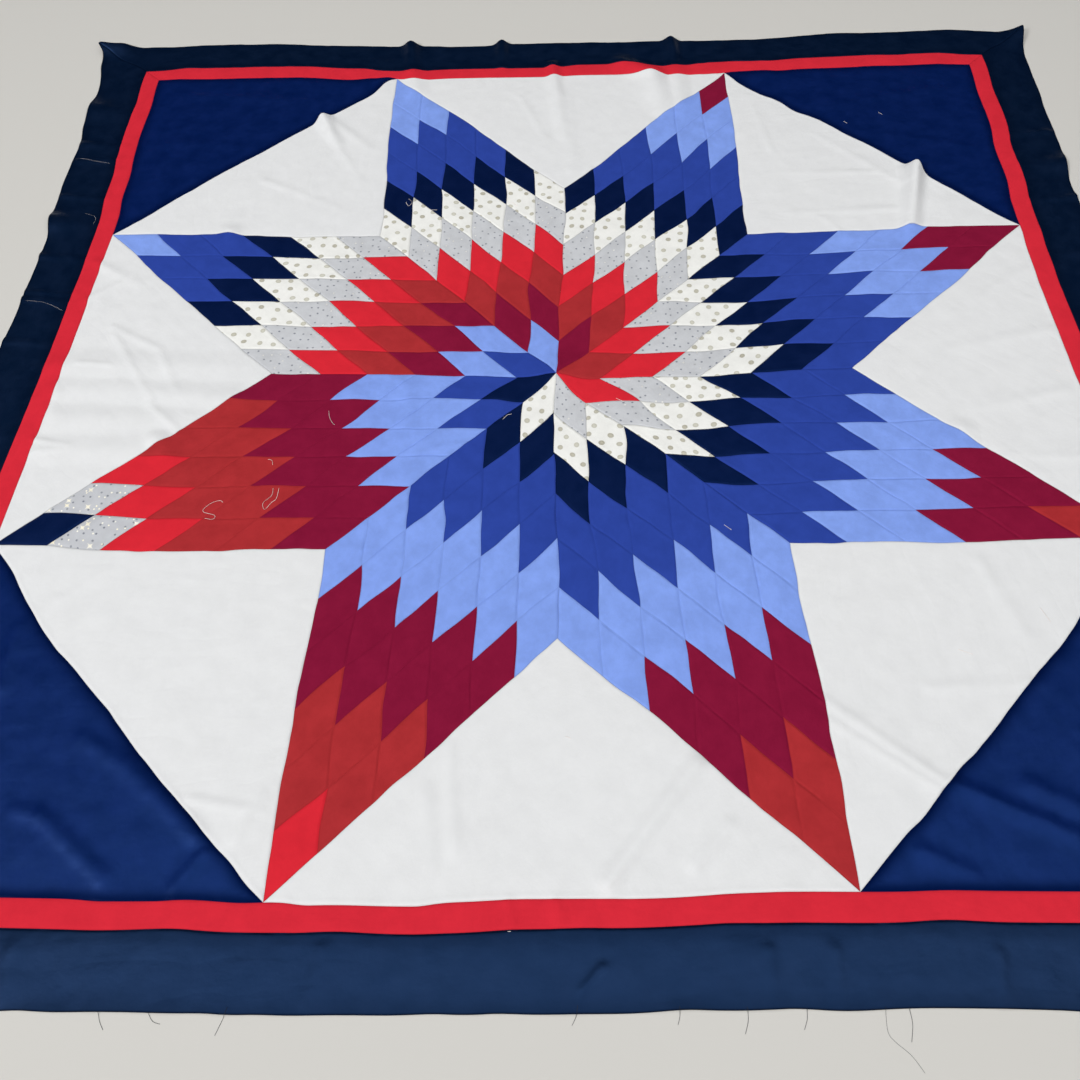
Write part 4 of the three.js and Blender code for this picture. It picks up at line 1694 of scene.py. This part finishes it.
@dataclass
class LooseThreads:
    """Threads of one colour that lie on the cloth or hang off its raw edge onto the floor."""

    name: str
    slot: str
    dye: Dye
    threads: tuple[Thread, ...]
    sides: int = 5
    spacing: float = 3.0
    seat: float = 1.2
    drop: Place = (-3.0, 1.0)

    def path(self, thread: Thread) -> np.ndarray:
        """Places along a thread, rounded where it turns and seated on what lies under it.

        Args:
            thread: the thread.

        Returns:
            Places in the row frame, in metres, one row each.
        """
        ends = np.array((thread.run[0], *thread.run, thread.run[-1]), float)
        places = []
        for a, b, c, d in zip(ends, ends[1:], ends[2:], ends[3:]):
            steps = max(2, round(float(np.linalg.norm(c - b)) / self.spacing))
            for k in range(steps):
                t = k / steps
                bend = (2 * a - 5 * b + 4 * c - d) * t + (3 * b - a - 3 * c + d) * t * t
                places.append(b + (c - a + bend) * t / 2)
        laid = np.array([*places, ends[-1]])
        height = CLOTH.height(laid) * self.over_cloth(laid) + thread.radius * self.seat
        return np.column_stack([laid - np.array(PATTERN.middle), height]) * MM

    def over_cloth(self, laid: np.ndarray) -> np.ndarray:
        """How far over the cloth places lie, from 0 on the floor beyond the raw edge to 1.

        Args:
            laid: places on the floor.

        Returns:
            One share for each place.
        """
        edge = np.column_stack([laid[:, 0], np.full(len(laid), -PATTERN.navy_reach)])
        raw_edge = CLOTH.shifted(edge)[:, 1]
        return smooth_step(*self.drop, laid[:, 1] - raw_edge)

    def spin(self, bm: bmesh.types.BMesh, path: np.ndarray, radius: float) -> None:
        """Draws one thread's round section along its path.

        Args:
            bm: the mesh that takes it.
            path: places along the thread.
            radius: the thread's radius in millimetres.
        """
        places = [Vector(place) for place in path]
        heading = (places[1] - places[0]).normalized()
        made = bmesh.ops.create_circle(bm, cap_ends=True, segments=self.sides, radius=radius * MM)
        ring = made["verts"]
        turn = Vector((0, 0, 1)).rotation_difference(heading).to_matrix()
        bmesh.ops.rotate(bm, verts=ring, cent=(0, 0, 0), matrix=turn)
        bmesh.ops.translate(bm, verts=ring, vec=places[0])
        face = ring[0].link_faces[0]
        for here, there in zip(places, places[1:]):
            grown = bmesh.ops.extrude_face_region(bm, geom=[face], use_keep_orig=False)["geom"]
            verts = [item for item in grown if isinstance(item, bmesh.types.BMVert)]
            face = next(item for item in grown if isinstance(item, bmesh.types.BMFace))
            course = (there - here).normalized()
            bmesh.ops.translate(bm, verts=verts, vec=there - here)
            turn = heading.rotation_difference(course).to_matrix()
            bmesh.ops.rotate(bm, verts=verts, cent=there, matrix=turn)
            heading = course

    def build(self) -> bpy.types.Object:
        """Makes the threads as one object.

        Returns:
            The object.
        """
        bm = bmesh.new()
        for thread in self.threads:
            self.spin(bm, self.path(thread), thread.radius)
        bmesh.ops.recalc_face_normals(bm, faces=bm.faces[:])
        for face in bm.faces:
            face.smooth = True
        piece = made_object(self.name, self.name, bm)
        material = plain_material(f"{self.name}_cotton", self.dye, roughness=0.8, gloss=0.1)
        piece.data.materials.append(material)
        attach(piece, "root")
        log.info("%s: %d faces", self.name, len(piece.data.polygons))
        return piece


@dataclass(frozen=True)
class Lamp:
    """A soft area light: where it stands and points, its sides, its power, and whether satin shows it."""

    name: str
    place: tuple[float, float, float]
    aim: tuple[float, float, float]
    size: Place
    watts: float
    glossy: bool = True


LAMPS = (
    Lamp("ceiling", (0.0, -0.9, 3.6), (0, -0.9, 0), (8.0, 3.0), 79),
    Lamp("back ceiling", (0.0, 2.7, 3.6), (0, 2.7, 0), (8.0, 4.0), 72, glossy=False),
    Lamp("key", (-7.5, -5.8, 6.6), (0, 0, 0), (2.4, 2.4), 650),
    Lamp("fill", (5.0, -7.0, 6.0), (0, 0, 0), (4.0, 4.0), 265),
)


@dataclass
class Studio:
    """A plain pale floor, soft light and the camera."""

    floor_size: float = 14.0
    floor_colour: Dye = (211, 209, 204)
    camera_place: tuple[float, float, float] = (0.024893, -1.205271, 1.2726)
    camera_forward: tuple[float, float, float] = (-0.02845, 0.54091, -0.8406)
    camera_right: tuple[float, float, float] = (0.99959, 0.01159, -0.02637)
    lens: float = 31.24
    sensor_width: float = 36.0
    nearest: float = 0.05
    room_colour: Colour = (1.0, 0.99, 0.97, 1)
    room_light: float = 0.07
    room_seen: float = 0.7

    def floor(self) -> None:
        """The plain matt floor."""
        bm = bmesh.new()
        bmesh.ops.create_grid(bm, x_segments=1, y_segments=1, size=self.floor_size / 2)
        floor = made_object("floor", "floor", bm)
        material = plain_material("pale_floor", self.floor_colour, roughness=0.95, gloss=0.5)
        floor.data.materials.append(material)

    def light(self, lamp: Lamp) -> None:
        """Sets up one light.

        Args:
            lamp: the light.
        """
        data = bpy.data.lights.new(lamp.name, "AREA")
        data.shape = "RECTANGLE"
        data.size, data.size_y = lamp.size
        data.energy = lamp.watts
        light = bpy.data.objects.new(lamp.name, data)
        bpy.context.scene.collection.objects.link(light)
        light.location = lamp.place
        light.visible_glossy = lamp.glossy
        light.rotation_euler = (Vector(lamp.aim) - Vector(lamp.place)).to_track_quat("-Z", "Y").to_euler()

    def room(self) -> None:
        """The pale room round the floor, which gives little light itself."""
        world = bpy.data.worlds.new("room")
        world.use_nodes = True
        tree = world.node_tree
        seen = tree.nodes.new("ShaderNodeLightPath").outputs["Is Camera Ray"]
        strength = tree.nodes.new("ShaderNodeMapRange")
        strength.inputs["To Min"].default_value = self.room_light
        strength.inputs["To Max"].default_value = self.room_seen
        tree.links.new(seen, strength.inputs["Value"])
        background = tree.nodes["Background"]
        background.inputs["Color"].default_value = self.room_colour
        tree.links.new(strength.outputs["Result"], background.inputs["Strength"])
        world.cycles_visibility.glossy = False
        bpy.context.scene.world = world

    def camera(self) -> None:
        """The camera at the view of the quilt's front edge from standing height."""
        data = bpy.data.cameras.new("camera")
        data.lens = self.lens
        data.sensor_width = self.sensor_width
        data.clip_start = self.nearest
        camera = bpy.data.objects.new("camera", data)
        bpy.context.scene.collection.objects.link(camera)
        right, back = Vector(self.camera_right).normalized(), -Vector(self.camera_forward).normalized()
        turn = Matrix((right, back.cross(right), back)).transposed().to_4x4()
        camera.matrix_world = Matrix.Translation(self.camera_place) @ turn
        bpy.context.scene.camera = camera

    def build(self) -> None:
        """Makes the floor, the lights, the room and the camera."""
        self.floor()
        for lamp in LAMPS:
            self.light(lamp)
        self.room()
        bpy.context.scene.view_settings.view_transform = "Standard"
        bpy.context.scene.view_settings.look = "None"
        self.camera()


def main() -> None:
    """Builds the quilt and the studio."""
    Quilt().build()
    Studio().build()
    log.info("quilt built")


if __name__ == "__main__":
    main()
